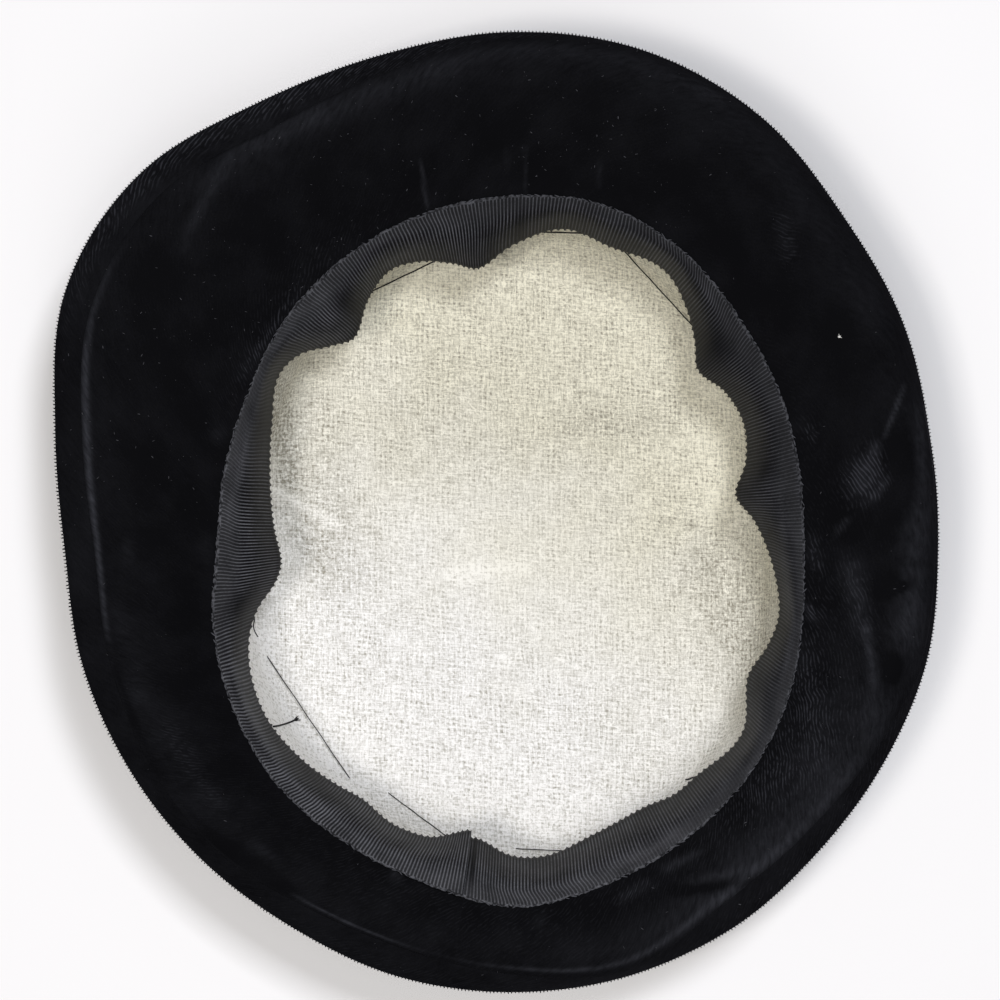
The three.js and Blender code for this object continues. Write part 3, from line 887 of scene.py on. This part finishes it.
def facing_marks(angle, radius):
    """How the facing's pile lies, with its painted highlights and shade: along the fold, in its
    strokes, and near the ribbon or away from it.
    """
    inward = fold_radius(angle) - radius
    line, width, inset, band = read_round(CREST_WEAR_AND_HIGHLIGHT, "line width inset band", angle)
    # A bright line along the fold, part wear and part painted highlight, and a soft painted highlight
    # band inside it.
    line = line * bell(inward - inset, width)
    band = band * bell(inward - BAND_INSET, BAND_WIDTH)
    nap = FACING_NAP + line + band + strokes_at("nap", angle, radius)
    beyond_ribbon = radius - seam_at(angle)
    near = bell(beyond_ribbon, NEAR_THE_RIBBON)
    near_rows, far_rows = read_round(FACING_ROWS, "near far", angle)
    rows = near_rows * near + far_rows * (1 - near) + strokes_at("rows", angle, radius)
    # Painted shade beside the ribbon's edge: the pile's rows fade there, so it looks darker.
    rows = rows * (1 - RIBBON_SHADE_STRENGTH * bell(beyond_ribbon, RIBBON_SHADE_REACH))
    return {"nap": np.clip(nap, 0, 1.5), "rows": np.clip(rows, 0, 1.6)}


radius, height = facing_section(turns)
(slants,) = read_round(FACING_ROWS, "slant", turns)
cloth = cloth_round(turns, radius, height, slants)
marks = facing_marks(turns, radius)
mesh = bent_grid("facing_velvet", on_the_hat(turns, radius, height), cloth, marks)
facing_velvet = place("facing_velvet", mesh, velvet)
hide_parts("brim_facing")

# Sweatband: petersham, a silk-like ribbon with fine ribs across its width and a scalloped edge. It is
# sewn round the head opening by its outer edge and hangs free inside the crown, in soft folds. Its
# ends lap at the back of the hat.
RIBBON_WIDTH = 25
RIBBON = 1  # the room that it takes up, with its ribs
RIBBON_CLOTH = 0.55  # its cloth, between the ribs
RIBBON_EASE = 0.2  # how loosely it lies on the velvet
RIBBON_SHOULDER = 1  # how far in from the crown's side it lies flat before it bends down
RIBBON_BEND = 3  # how far down the bend reaches
RIBBON_END = 262  # the upper end, at the back of the hat
RIBBON_OVERLAP = 8  # how far it laps over the lower end, in degrees
OVERLAP_STEP = 0.9  # how much further in the upper end's free edge lies
LAP_RUN = 12  # degrees in which the ribbon climbs on to its lower end
RIB_PITCH = 0.99
RIB_HEIGHT = 0.3
STEPS_A_RIB = 4
RIBS_A_SCALLOP = 2
SCALLOP = 0.46
SELVEDGE_LUMPS = 0.12  # how uneven the sewn edge is
SELVEDGE_BULGE = 0.15
EDGE_ROUND = 0.25
MIDDLE_OF_RIBBON = 85  # radius at which the marks below keep their true size

# How far the ribbon's free edge leans in from its sewn edge, seen from above.
RIBBON_FOLDS = table("angle lean", [
    (0, 7.7), (6, 11), (13, 16), (20, 11.8), (28, 9.8), (36, 11.4), (44, 15.2), (48, 11.8),
    (54, 7.7), (61, 4.7), (72, 7.4), (81, 6.2), (90, 11.1), (97, 16.4), (102, 13.1), (108, 9.3),
    (114, 7.6), (120, 10.6), (127, 16.1), (132, 12.5), (138, 6.2), (144, 3.6), (153, 6.8),
    (165, 10.6), (176, 13.2), (185, 16.1), (189, 14.9), (194, 10.1), (200, 6.6), (213, 4.4),
    (225, 6.5), (234, 8.5), (240, 9.5), (248, 6.9), (254, 7), (263, 14.1), (270, 10.8), (276, 9.6),
    (287, 11), (297, 10.7), (303, 8.4), (309, 7.8), (321, 4.7), (331, 9.7), (339, 5.9), (345, 3.9),
    (352, 4.9),
])
lean_at = round_the_hat(RIBBON_FOLDS, "lean")

# The ribs don't run straight across: how far they have turned round the hat, in mm, where the ribbon
# bends down, and at its free edge.
RIB_TURNS = table("angle bend edge", [
    (0, 0.3, 2.6), (14, 0, 1), (30, 0.5, 1), (45, -1.5, -1.5), (62, -1.5, -1), (75, 0, 0),
    (88, 0, 0), (94, 0, 1.2), (104, -0.8, -1), (115, 0, 0), (124, -1, -2.8), (135, -1.6, -3.6),
    (148, 1, -2), (160, 2, 0), (172, 2, 1.6), (185, 1, 0.6), (196, -0.3, -0.6), (208, 1, 2.2),
    (225, 1.2, 3.2), (245, 0.5, 2.2), (257, 0.2, 1.4), (262, 0, 0), (270, -1.4, -1.2),
    (285, -1.4, -0.6), (300, 0, 0), (315, 0.5, 0.5), (328, 0, 0.8), (342, 0.3, 1.6),
])
# Where the ribbon rolls over before it hangs down: how far that lies in from the sewn edge, seen
# from above, and how much light its ribs catch there.
ROLLS = table("angle inset light", [
    (0, 5, 0.6), (8, 5.4, 0.3), (16, 5, 0), (50, 3, 0.1), (66, 3.5, 0.35), (82, 3, 0.1), (96, 5, 0),
    (110, 6.5, 0.35), (121, 6, 0.05), (131, 2.5, 0.3), (146, 2, 0.3), (157, 3.5, 0.5),
    (166, 4, 0.45), (173, 2.5, 0.15), (188, 4, 0), (198, 3.6, 0.2), (206, 3.2, 0.7), (216, 3, 0.7),
    (228, 3.6, 0.5), (240, 3.5, 0.2), (262, 3, 0), (285, 3, 0.15), (310, 3, 0.25), (330, 3, 0.1),
    (344, 2.2, 0.7), (352, 3.6, 0.8),
])
ROLL_WIDTH = 0.9
# Folds that lie in shade: the middle, the distance in from the sewn edge, the size, by how many degrees
# they slant off the way round the hat, and how dark they are.
SHADED_FOLDS = table("angle inset length width slant tone", [
    (17, 8, 4.5, 4, 0, -0.55),
    (45, 9, 8, 5, 25, -0.75),
    (88.6, 9, 1.7, 6, 0, -0.7),
    (94, 13, 1.7, 7, 0, -0.5),
    (124, 9, 4, 4.5, 40, -0.7),
    (151, 6, 12, 2, 0, -0.62),
    (192, 8, 5, 6, 0, -0.6),
    (199, 8, 6, 2, 0, -0.4),
    (212, 4.8, 12, 0.9, 0, -0.6),
    (228, 6.6, 11, 1.3, 0, -0.6),
    (262.9, 9, 0.8, 9, 0, -0.85),
    (266, 8, 1.5, 6, 0, -0.3),
    (331, 6, 5, 3, 0, -0.25),
    (350, 7.5, 7, 2.5, 0, -0.3),
])
# How light the ribbon is round the hat, painted as the room's light falls on it, how crisp the
# painted highlights on its ribs are, merging into an even painted sheen where low, how much of that
# is left along the sewn edge, and how full the ribs are: thin bright ridges at 0, broad cords with
# narrow gaps at 1.
RIBBON_TONES = table("angle tone crisp sewn full", [
    (0, 0.58, 0.75, 0.5, 0.1),
    (30, 0.55, 0.95, 0.6, 0),
    (60, 0.57, 1, 0.7, 0),
    (90, 0.63, 1.1, 0.7, 0),
    (130, 0.78, 0.9, 0.6, 0.1),
    (150, 0.74, 0.4, 0.3, 0.2),
    (160, 0.82, 0.6, 0.3, 0.1),
    (168, 0.9, 1.1, 0.35, 0),
    (195, 0.96, 1.1, 0.7, 0.1),
    (206, 0.98, 1.25, 0.9, 0.45),
    (225, 1.05, 1.25, 1, 0.45),
    (250, 1.16, 0.9, 0.8, 0.3),
    (280, 1.16, 0.8, 0.6, 0.1),
    (310, 0.78, 0.65, 0.2, 0.3),
    (335, 0.66, 0.7, 0.3, 0.2),
])

# Rayon petersham. Each rib is a cord of filament yarn, black, with a painted grey highlight along
# its top and black between the ribs.
RIB_HIGHLIGHT_COLOUR = "#6b6c72"
GAP_COLOUR = "#0d0d0f"
SELVEDGE = 0.8  # width of the woven edge that has no ribs


def petersham_material():
    material, add, surface = new_material("rayon_petersham")
    cloth = add("UVMap", [], uv_map="cloth")
    tone, crisp, full = (
        add("Attribute", [], output=2, attribute_name=mark) for mark in ("tone", "crisp", "full")
    )
    axes = add("SeparateXYZ", [cloth]).node.outputs
    wave = add("Math MULTIPLY", [axes[0], 2 * math.pi / (RIB_PITCH * MM)])
    wave = add("Math COSINE", [wave])
    ridge = add("Math MULTIPLY_ADD", [wave, 0.5, 0.5])
    thin = add("Math POWER", [ridge, 3])
    broad = add("Math POWER", [ridge, 0.8])
    ridge = add("Mix", {0: full, 2: thin, 3: broad})
    ridge = add("Mix", {0: crisp, 2: 0.3, 3: ridge})
    selvedge = add("MapRange", [axes[1], (SELVEDGE - 0.3) * MM, SELVEDGE * MM, 1.0, 0.0])
    knobs = add("TexNoise", {"Vector": cloth, "Scale": 1 / (1.1 * MM), "Detail": 1})
    knobs = add("MapRange", [knobs, 0.4, 0.6, 0.12, 0.75])
    ridge = add("Mix", {0: selvedge, 2: ridge, 3: knobs})
    picks = add("Mapping", {"Vector": cloth, "Scale": (1 / (0.5 * MM), 1 / (0.9 * MM), 1)})
    glint = add("TexNoise", {"Vector": picks, "Scale": 1.0, "Detail": 3, "Roughness": 0.6})
    shade = add("TexNoise", {"Vector": cloth, "Scale": 1 / (9 * MM), "Detail": 3})
    light = add("Math MULTIPLY_ADD", [glint, 0.9, shade])
    light = add("MapRange", [light, 0.6, 1.25, 0.35, 1.4])
    light = add("Math MULTIPLY", [light, ridge])
    light = add("Math MULTIPLY", [light, tone])
    colour = add(
        "Mix", {0: light, 6: linear(GAP_COLOUR), 7: linear(RIB_HIGHLIGHT_COLOUR)}, output=2, data_type="RGBA"
    )
    bump = add("Bump", {"Height": glint, "Strength": 0.4, "Distance": 0.12 * MM})
    fill(surface, {"Base Color": colour, "Normal": bump, "Roughness": 0.6, "Specular IOR Level": 0.05})
    return material


def smooth_step(value, low, high):
    share = np.clip((value - low) / (high - low), 0, 1)
    return share * share * (3 - 2 * share)


def ribbon_course(angle, lean, share):
    """Place and direction on the ribbon's way from its sewn edge down to its free edge."""
    side = crown_radius(angle)
    sewn = side + RIBBON_LAP
    top = brim_height(angle, sewn) + SEAM_GAP / 2 + FACING + SEAM_GAP + RIBBON_EASE + RIBBON / 2
    free = sewn - lean
    deep = top - np.sqrt(RIBBON_WIDTH**2 - lean**2)
    knots = [
        (sewn, top),
        (np.minimum(side - RIBBON_SHOULDER, (side + free) / 2), top + RIBBON / 3),
        (free + (side - free) / 3, top - RIBBON_BEND),
        (free, deep),
    ]
    rest = 1 - share
    weights = (rest**3, 3 * rest**2 * share, 3 * rest * share**2, share**3)
    slopes = (-3 * rest**2, 3 * rest**2 - 6 * rest * share, 6 * rest * share - 3 * share**2, 3 * share**2)
    point, along = (
        [sum(part * knot[axis] for part, knot in zip(parts, knots)) for axis in (0, 1)]
        for parts in (weights, slopes)
    )
    length = np.hypot(*along)
    return point[0], point[1], along[0] / length, along[1] / length


def shade_at(angle, inset):
    """Sum of the shaded folds. Each is an oval, laid round the hat and turned by its slant."""
    shade = 0
    for row in SHADED_FOLDS:
        aside = np.radians(apart(angle, row["angle"])) * MIDDLE_OF_RIBBON
        out = inset - row["inset"]
        slant = math.radians(row["slant"])
        length = (aside * math.cos(slant) + out * math.sin(slant)) / row["length"]
        width = (out * math.cos(slant) - aside * math.sin(slant)) / row["width"]
        shade = shade + row["tone"] * np.exp(-(length**2) - width**2)
    return shade


# Across the ribbon the mesh runs down its front, round its free edge, up its back and round its sewn
# edge. The share is how far that is on the way from the sewn edge to the free one.
ribbon_start = RIBBON_END - RIBBON_OVERLAP
ribbon_stop = RIBBON_END + 360
ribbon_turn = ribbon_stop - ribbon_start
rib_angles = even_angles(seam_at, RIB_PITCH / STEPS_A_RIB, ribbon_start, ribbon_turn)[:, None]
rib_phase = np.arange(len(rib_angles))[:, None] / STEPS_A_RIB
front = np.linspace(0, 1, 21) ** 0.9
back = np.linspace(1, 0, 9)
share = np.hstack([front, 1, back, 0, 0])[None, :]
side_of_cloth = np.hstack([front * 0 + 1, 0, back * 0 - 1, 0, 1])[None, :]
beyond = np.hstack([front * 0, EDGE_ROUND, back * 0, -EDGE_ROUND, 0])[None, :]
near_sewn = 1 - smooth_step(share, 0, 0.035)
near_free = smooth_step(share, 0.93, 1)

# The ribs turn as the table says, but not at the ribbon's cut ends.
bend, edge = read_round(RIB_TURNS, "bend edge", rib_angles)
turned = bend * smooth_step(share, 0, 0.3) + (edge - bend) * smooth_step(share, 0.25, 1)
free_to_turn = smooth_step(rib_angles, ribbon_start, ribbon_start + 6)
free_to_turn = free_to_turn * (1 - smooth_step(rib_angles, ribbon_stop - 4, ribbon_stop))
cloth_angle = rib_angles + np.degrees(turned * free_to_turn / MIDDLE_OF_RIBBON)

# The lap, the scallops and the lumps of the sewn edge move the cloth along itself or away from it.
climb = smooth_step(cloth_angle, ribbon_start + 360 - LAP_RUN, ribbon_start + 360)
tucked = 1 - smooth_step(cloth_angle, RIBBON_END, RIBBON_END + LAP_RUN)
lean = lean_at(cloth_angle) + OVERLAP_STEP / 2 * (climb - tucked)
scallops = np.abs(np.sin(math.pi * rib_phase / RIBS_A_SCALLOP))
scallops = SCALLOP * (scallops - 0.6) * near_free
lumps = np.sin(rib_phase * 1.9) + np.sin(rib_phase * 0.83 + 1) + np.sin(rib_phase * 0.37 + 2)
beyond = beyond + scallops
beyond = beyond - SELVEDGE_LUMPS * lumps * near_sewn
base_tone, crisp, sewn, full = read_round(RIBBON_TONES, "tone crisp sewn full", cloth_angle)
crisp = crisp * (1 - (1 - smooth_step(share, 0.15, 0.45)) * (1 - sewn))
ridge = np.cos(2 * math.pi * rib_phase) * 0.5 + 0.5
relief = RIB_HEIGHT * (ridge - 0.5) * (0.25 + 0.75 * crisp)
lift = side_of_cloth * (RIBBON_CLOTH / 2 + relief)
lift = lift + scallops + SELVEDGE_BULGE * near_sewn * side_of_cloth
lift = lift + climb * (RIBBON + SEAM_GAP)
x, z, along_x, along_z = ribbon_course(cloth_angle, lean, share)
radius = x + along_x * beyond + along_z * lift
height = z + along_z * beyond - along_x * lift

# Where the ribbon rolls over, a painted highlight shines on it and its ribs fade. Painted shade
# darkens its folds, its bend and its free edge, and fades the ribs in the shaded folds.
inset = seam_at(cloth_angle) - x
roll_inset, roll_light = read_round(ROLLS, "inset light", cloth_angle)
rolled = bell(inset - roll_inset, ROLL_WIDTH) * roll_light
lit = np.clip(1 + shade_at(cloth_angle, inset), 0.08, 1)
tone = lit * base_tone
tone = tone * (0.85 + 0.9 * rolled) + 0.08 * rolled
tone = tone * (0.7 + 0.3 * smooth_step(share, 0.1, 0.5))
tone = tone * (1 - 0.6 * smooth_step(share, 0.9, 0.98)) + 0.25 * near_sewn
crisp = crisp * (1 - 0.8 * np.clip(rolled, 0, 1)) * (0.4 + 0.6 * lit)
cloth = np.stack([rib_phase * RIB_PITCH + 0 * share, share * RIBBON_WIDTH + 0 * rib_phase], axis=-1)
marks = {"tone": tone, "crisp": crisp, "full": full}
points = on_the_hat(cloth_angle, radius, height)
mesh = bent_grid("sweatband_ribbon", points, cloth, marks, fill_ends=True)
sweatband = place("sweatband_ribbon", mesh, petersham_material())
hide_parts("sweatband")

# Sewn edge of the ribbon: a fine grey-black thread that holds the looped edge down on the velvet,
# one small stitch to every loop.
STITCH_PITCH = 1.8
STITCH_RADIUS = 0.17
THREAD_GREY = "#3d3e44"


def thread_material(name, colour, roughness):
    """Spun sewing thread: a plain colour, a little rough. Its ply is drawn 0.2 mm wide, coarser than
    it is, to show."""
    material, add, surface = new_material(name)
    where = add("TexCoord", [], output=3)
    ply = add("TexNoise", {"Vector": where, "Scale": 1 / (0.2 * MM), "Detail": 2})
    shade = add("MapRange", [ply, 0.3, 0.7, 0.55, 1.2])
    tinted = add(
        "Mix",
        {0: shade, 6: linear("#000000"), 7: linear(colour)},
        output=2,
        data_type="RGBA",
        clamp_factor=False,
    )
    bump = add("Bump", {"Height": ply, "Strength": 0.4, "Distance": 0.05 * MM})
    fill(surface, {
        "Base Color": tinted, "Normal": bump, "Roughness": roughness, "Specular IOR Level": 0.3,
    })
    return material


angle = even_angles(seam_at, STITCH_PITCH, ribbon_start, ribbon_turn)[:, None]
climb = smooth_step(angle, ribbon_start + 360 - LAP_RUN, ribbon_start + 360)
x, z, along_x, along_z = ribbon_course(angle, lean_at(angle), np.zeros((1, 1)))
rest = RIBBON_CLOTH / 2 + climb * (RIBBON + SEAM_GAP)
at = on_the_hat(angle, x + 0.1 + along_z * rest, z - along_x * rest)[:, 0]
level, aside = level_ways(angle[:, 0])
outward = level * chance.normal(0, 0.3, len(at))[:, None] + aside
long = STITCH_PITCH * 0.5 * chance.uniform(0.45, 1.15, len(at))[:, None]
thick = STITCH_RADIUS * chance.uniform(0.6, 1.3, len(at))[:, None]
loop = bmesh.new()
bmesh.ops.create_uvsphere(loop, u_segments=8, v_segments=6, radius=1)
mesh = joined("ribbon_edge_loops", loop, upright(at, outward, (0, 0, 1), (thick, thick, long)))
grey_thread = thread_material("grey_black_thread", THREAD_GREY, 0.6)
place("ribbon_edge_loops", mesh, grey_thread)

# Tacking threads: long stitches of black cotton that show on the inside of the buckram, where the
# side of the crown meets its tip. They were pulled tight and run straight from hole to hole. Each
# row gives a stitch's two ends as pixels of the picture, how far it runs on under the ribbon, and the
# thread's radius, which is less where it was pulled tighter.
THREAD_BLACK = "#0b0b0d"
THREAD_STEPS = 24
THREAD_WAVES = dict(up=0.15, aside=0.06)  # how far a stitch is from straight
HOLE_DEPTH = 0.6  # how far its ends go into the buckram
STITCHES = table("from_u from_v to_u to_v hidden_from hidden_to radius", [
    (266.2, 655.1, 350.5, 779.6, 0, 0, 0.15),
    (387, 792, 448, 837, 0, 3, 0.14),
    (515, 848.5, 562, 849.5, 0, 4, 0.14),
    (540, 233, 582, 234, 5, 5, 0.22),
    (626, 254, 692, 326, 3, 4, 0.19),
    (370.6, 292.4, 430.6, 263.4, 4, 4, 0.2),
    (688, 779, 704, 774, 1, 6, 0.26),
])


def inside_of_crown(x, y):
    """Height of the inside of the crown over a point of the frame."""
    angle = np.degrees(np.arctan2(y - HEAD[1], x - HEAD[0]))
    line_radius, line_height = crown_line(np.array([[angle]]), 0, FOUNDATION_CELLS)
    return np.interp(np.hypot(x - HEAD[0], y - HEAD[1]), line_radius[0], line_height[0])


def on_the_crown(u, v):
    """The point of the crown's inside that a pixel of the picture shows."""
    point = under_pixel(u, v, INNER_TIP)
    for _ in range(6):  # enough to settle
        point = under_pixel(u, v, inside_of_crown(point[0], point[1]))
    return point


def strand(path, radius, sides=8):
    """A thin round thread along a path of points in mm, as a closed mesh."""
    ahead = unit(np.gradient(path, axis=0))
    aside = unit(np.cross(ahead, (0.1, 0.2, 1)))
    over = np.cross(aside, ahead)
    turn = np.linspace(0, 2 * math.pi, sides + 1)[:, None, None]
    points = path + radius * (np.cos(turn) * aside + np.sin(turn) * over)
    return bent_grid("strand", points, 0 * points[..., :2], {}, fill_ends=True)


def one_mesh(name, parts):
    """Joins several meshes into one."""
    form = bmesh.new()
    for part in parts:
        form.from_mesh(part)
        bpy.data.meshes.remove(part)
    mesh = as_mesh(name, form)
    mesh.shade_smooth()
    return mesh


def stitch_path(row):
    """From hole to hole over the hollow of the crown, with both ends going into the buckram."""
    first = on_the_crown(row["from_u"], row["from_v"])
    last = on_the_crown(row["to_u"], row["to_v"])
    along = unit(last - first)
    ends = [first - along * row["hidden_from"], last + along * row["hidden_to"]]
    for end in ends:
        end[2] = inside_of_crown(end[0], end[1]) + row["radius"]
    share = np.linspace(0, 1, THREAD_STEPS)[:, None]
    path = ends[0] + (ends[1] - ends[0]) * share
    path[:, 2] += THREAD_WAVES["up"] * np.sin(share[:, 0] * math.pi * 5)
    path[:, 0] += THREAD_WAVES["aside"] * np.sin(share[:, 0] * math.pi * 7)
    for point in path:
        point[2] = max(point[2], inside_of_crown(point[0], point[1]) + row["radius"])
    path[[0, -1], 2] -= HOLE_DEPTH
    return path


black_thread = thread_material("black_cotton_thread", THREAD_BLACK, 0.7)
strands = [strand(stitch_path(row), row["radius"]) for row in STITCHES]
place("tacking_threads", one_mesh("tacking_threads", strands), black_thread)

# Loose thread ends: a cut end with a frayed knot that sticks out from under the ribbon, and a short
# curl of thread at the ribbon's edge, both left over from the tacking.
KNOT_END = [(266, 727.5), (273, 726.5), (281, 725), (289, 722.5), (296, 719.5)]
CURL = [(251, 612), (254.5, 618), (253.5, 626), (255, 632), (258, 637)]
KNOT_ABOVE = 0.4  # over the buckram
CURL_HEIGHT = 38  # over the floor
KNOT_END_RADIUS = 0.26
CURL_RADIUS = 0.16
KNOT_RADIUS = 0.5
FRAY_COUNT = 16
FRAY_LENGTH = 1.5
FRAY_RADIUS = 0.06


def smooth_path(points, count):
    """A smooth run of points through a few given ones."""
    points = np.array(points, float)
    fine = np.linspace(0, len(points) - 1, count)
    slopes = np.gradient(points, axis=0)
    here = np.minimum(fine.astype(int), len(points) - 2)
    t = (fine - here)[:, None]
    return (
        points[here] * (2 * t**3 - 3 * t**2 + 1)
        + slopes[here] * (t**3 - 2 * t**2 + t)
        + points[here + 1] * (3 * t**2 - 2 * t**3)
        + slopes[here + 1] * (t**3 - t**2)
    )


knot_path = smooth_path([on_the_crown(u, v) + (0, 0, KNOT_ABOVE) for u, v in KNOT_END], THREAD_STEPS)
curl_path = smooth_path([under_pixel(u, v, CURL_HEIGHT) for u, v in CURL], THREAD_STEPS)
parts = [strand(knot_path, KNOT_END_RADIUS), strand(curl_path, CURL_RADIUS)]
knot = knot_path[-1]
onward = unit(knot - knot_path[-3])
for _ in range(FRAY_COUNT):
    way = onward + chance.normal(0, 0.7, 3) * (1, 1, 0.5)
    way = unit(way) * FRAY_LENGTH * chance.uniform(0.5, 1)
    bend = chance.normal(0, 0.25, 3)
    fray = smooth_path([knot, knot + way * 0.5 + bend, knot + way], 6)
    parts.append(strand(fray, FRAY_RADIUS, sides=4))
ball = bmesh.new()
bmesh.ops.create_icosphere(ball, subdivisions=2, radius=KNOT_RADIUS)
bmesh.ops.translate(ball, verts=ball.verts, vec=knot)
bmesh.ops.scale(ball, verts=ball.verts, vec=(MM, MM, MM))
parts.append(as_mesh("knot", ball))
place("loose_threads", one_mesh("loose_threads", parts), black_thread)

# Lint: specks and short fibres of pale dust that velvet holds. Most lie on the front half of the
# brim, and one larger piece of fluff on its right side.
LINT_COLOUR = "#48484d"
FLUFF_COLOUR = "#e8e6e2"
LINT_COUNT = 520
LINT_SIZE = 0.1  # radius of a speck
LINT_EDGES = dict(ribbon=2, brim=3)  # how far it keeps from the facing's edges
FLUFF = dict(angle=32.9, radius=103.2, above=0.3, spread=0.4)
FLUFF_FIBRES = 14
FIBRE_RADIUS = 0.09


def on_the_facing(angle, radius, above):
    """Points on the velvet of the brim's underside, or on its strip outside the fold."""
    angle, radius = np.asarray(angle)[:, None], np.asarray(radius)[:, None]
    outside = radius > fold_radius(angle)
    offset = np.where(outside, ROLL, SEAM_GAP / 2 + FACING + strokes_at("rise", angle, radius))
    at_radius, at_height = beside_brim(angle, radius, offset + above)
    return on_the_hat(angle, at_radius, at_height)[:, 0]


def dust_material(name, colour):
    """Cotton and paper dust: pale, matt and uneven."""
    material, add, surface = new_material(name)
    where = add("TexCoord", [], output=3)
    spread = add("TexNoise", {"Vector": where, "Scale": 1 / (1.5 * MM), "Detail": 1})
    shade = add("MapRange", [spread, 0.35, 0.65, 0.25, 1.0])
    tinted = add(
        "Mix", {0: shade, 6: linear("#101012"), 7: linear(colour)}, output=2, data_type="RGBA"
    )
    fill(surface, {"Base Color": tinted, "Roughness": 0.9, "Specular IOR Level": 0.1})
    return material


angle = np.where(
    chance.random(LINT_COUNT) < 0.72,
    chance.uniform(60, 175, LINT_COUNT),
    chance.uniform(0, 360, LINT_COUNT),
)
start = seam_at(angle) + LINT_EDGES["ribbon"]
radius = start + (reach_at(angle) - LINT_EDGES["brim"] - start) * chance.random(LINT_COUNT)
at = on_the_facing(angle, radius, 0.05)
random_way = chance.normal(0, 1, (LINT_COUNT, 3)) * (1, 1, 0.2)
thin = LINT_SIZE * chance.uniform(0.5, 1.3, LINT_COUNT)[:, None]
long = thin * np.where(chance.random(LINT_COUNT) < 0.4, 4.5, 1.1)[:, None]
speck = bmesh.new()
bmesh.ops.create_icosphere(speck, subdivisions=1, radius=1)
mesh = joined("lint", speck, upright(at, random_way, (0, 0, 1), (thin, thin, long)))
place("lint", mesh, dust_material("dust_lint", LINT_COLOUR))

middle = on_the_facing([FLUFF["angle"]], [FLUFF["radius"]], FLUFF["above"])[0]
parts = []
for _ in range(FLUFF_FIBRES):
    offsets = chance.normal(0, FLUFF["spread"], (3, 3)) * (1, 1, 0.35)
    parts.append(strand(smooth_path(middle + np.abs(offsets), 7), FIBRE_RADIUS, sides=4))
place("fluff", one_mesh("fluff", parts), dust_material("cotton_fluff", FLUFF_COLOUR))

# Floor and lights: a matt white paper ground in an evenly lit room. A soft lamp stands high at the
# right beyond the hat and another at the left, and two wide ones hang over its middle and its back.
PAPER = "#f3f2f3"
FLOOR_REACH = 3  # metres from the middle to the floor's edges
ROOM_COLOUR = "#ffffff"
ROOM_LIGHT = 0.12
LAMP_DISTANCE = 1.3  # metres
LAMPS = table("name azimuth elevation size watts colour", [
    ("key", 58, 76, 0.18, 7.5, "#f8faff"),
    ("left", 201, 78, 0.17, 5.1, "#fffaf4"),
    ("overhead", 270, 86, 0.4, 3.4, "#ffffff"),
    ("back", 266, 64, 0.6, 2.1, "#ffffff"),
])


def paper_material():
    """Matt wood-pulp paper. Its pulp is drawn 2.5 mm wide, coarser than it is, to show."""
    material, add, surface = new_material("white_paper")
    where = add("TexCoord", [], output=3)
    pulp = add("TexNoise", {"Vector": where, "Scale": 1 / (2.5 * MM), "Detail": 3})
    bump = add("Bump", {"Height": pulp, "Strength": 0.05, "Distance": 0.1 * MM})
    fill(surface, {
        "Normal": bump, "Base Color": linear(PAPER), "Roughness": 0.95, "Specular IOR Level": 0.1,
    })
    return material


ground = bmesh.new()
bmesh.ops.create_grid(ground, x_segments=1, y_segments=1, size=FLOOR_REACH)
mesh = as_mesh("floor", ground)
floor = put("floor", mesh)
mesh.materials.append(paper_material())

world = bpy.data.worlds.new("studio")
bpy.context.scene.world = world
world.use_nodes = True
room = world.node_tree.nodes["Background"].inputs
fill(room, {"Color": linear(ROOM_COLOUR), "Strength": ROOM_LIGHT})

for lamp in LAMPS:
    data = bpy.data.lights.new(lamp["name"], "AREA")
    data.size = lamp["size"]
    data.energy = lamp["watts"]
    data.color = linear(lamp["colour"])[:3]
    light = put(lamp["name"], data)
    turn, climb = math.radians(lamp["azimuth"]), math.radians(lamp["elevation"])
    light.location = (
        LAMP_DISTANCE * math.cos(climb) * math.cos(turn),
        LAMP_DISTANCE * math.cos(climb) * math.sin(turn),
        LAMP_DISTANCE * math.sin(climb),
    )
    light.rotation_euler = light.location.to_track_quat("Z", "Y").to_euler()
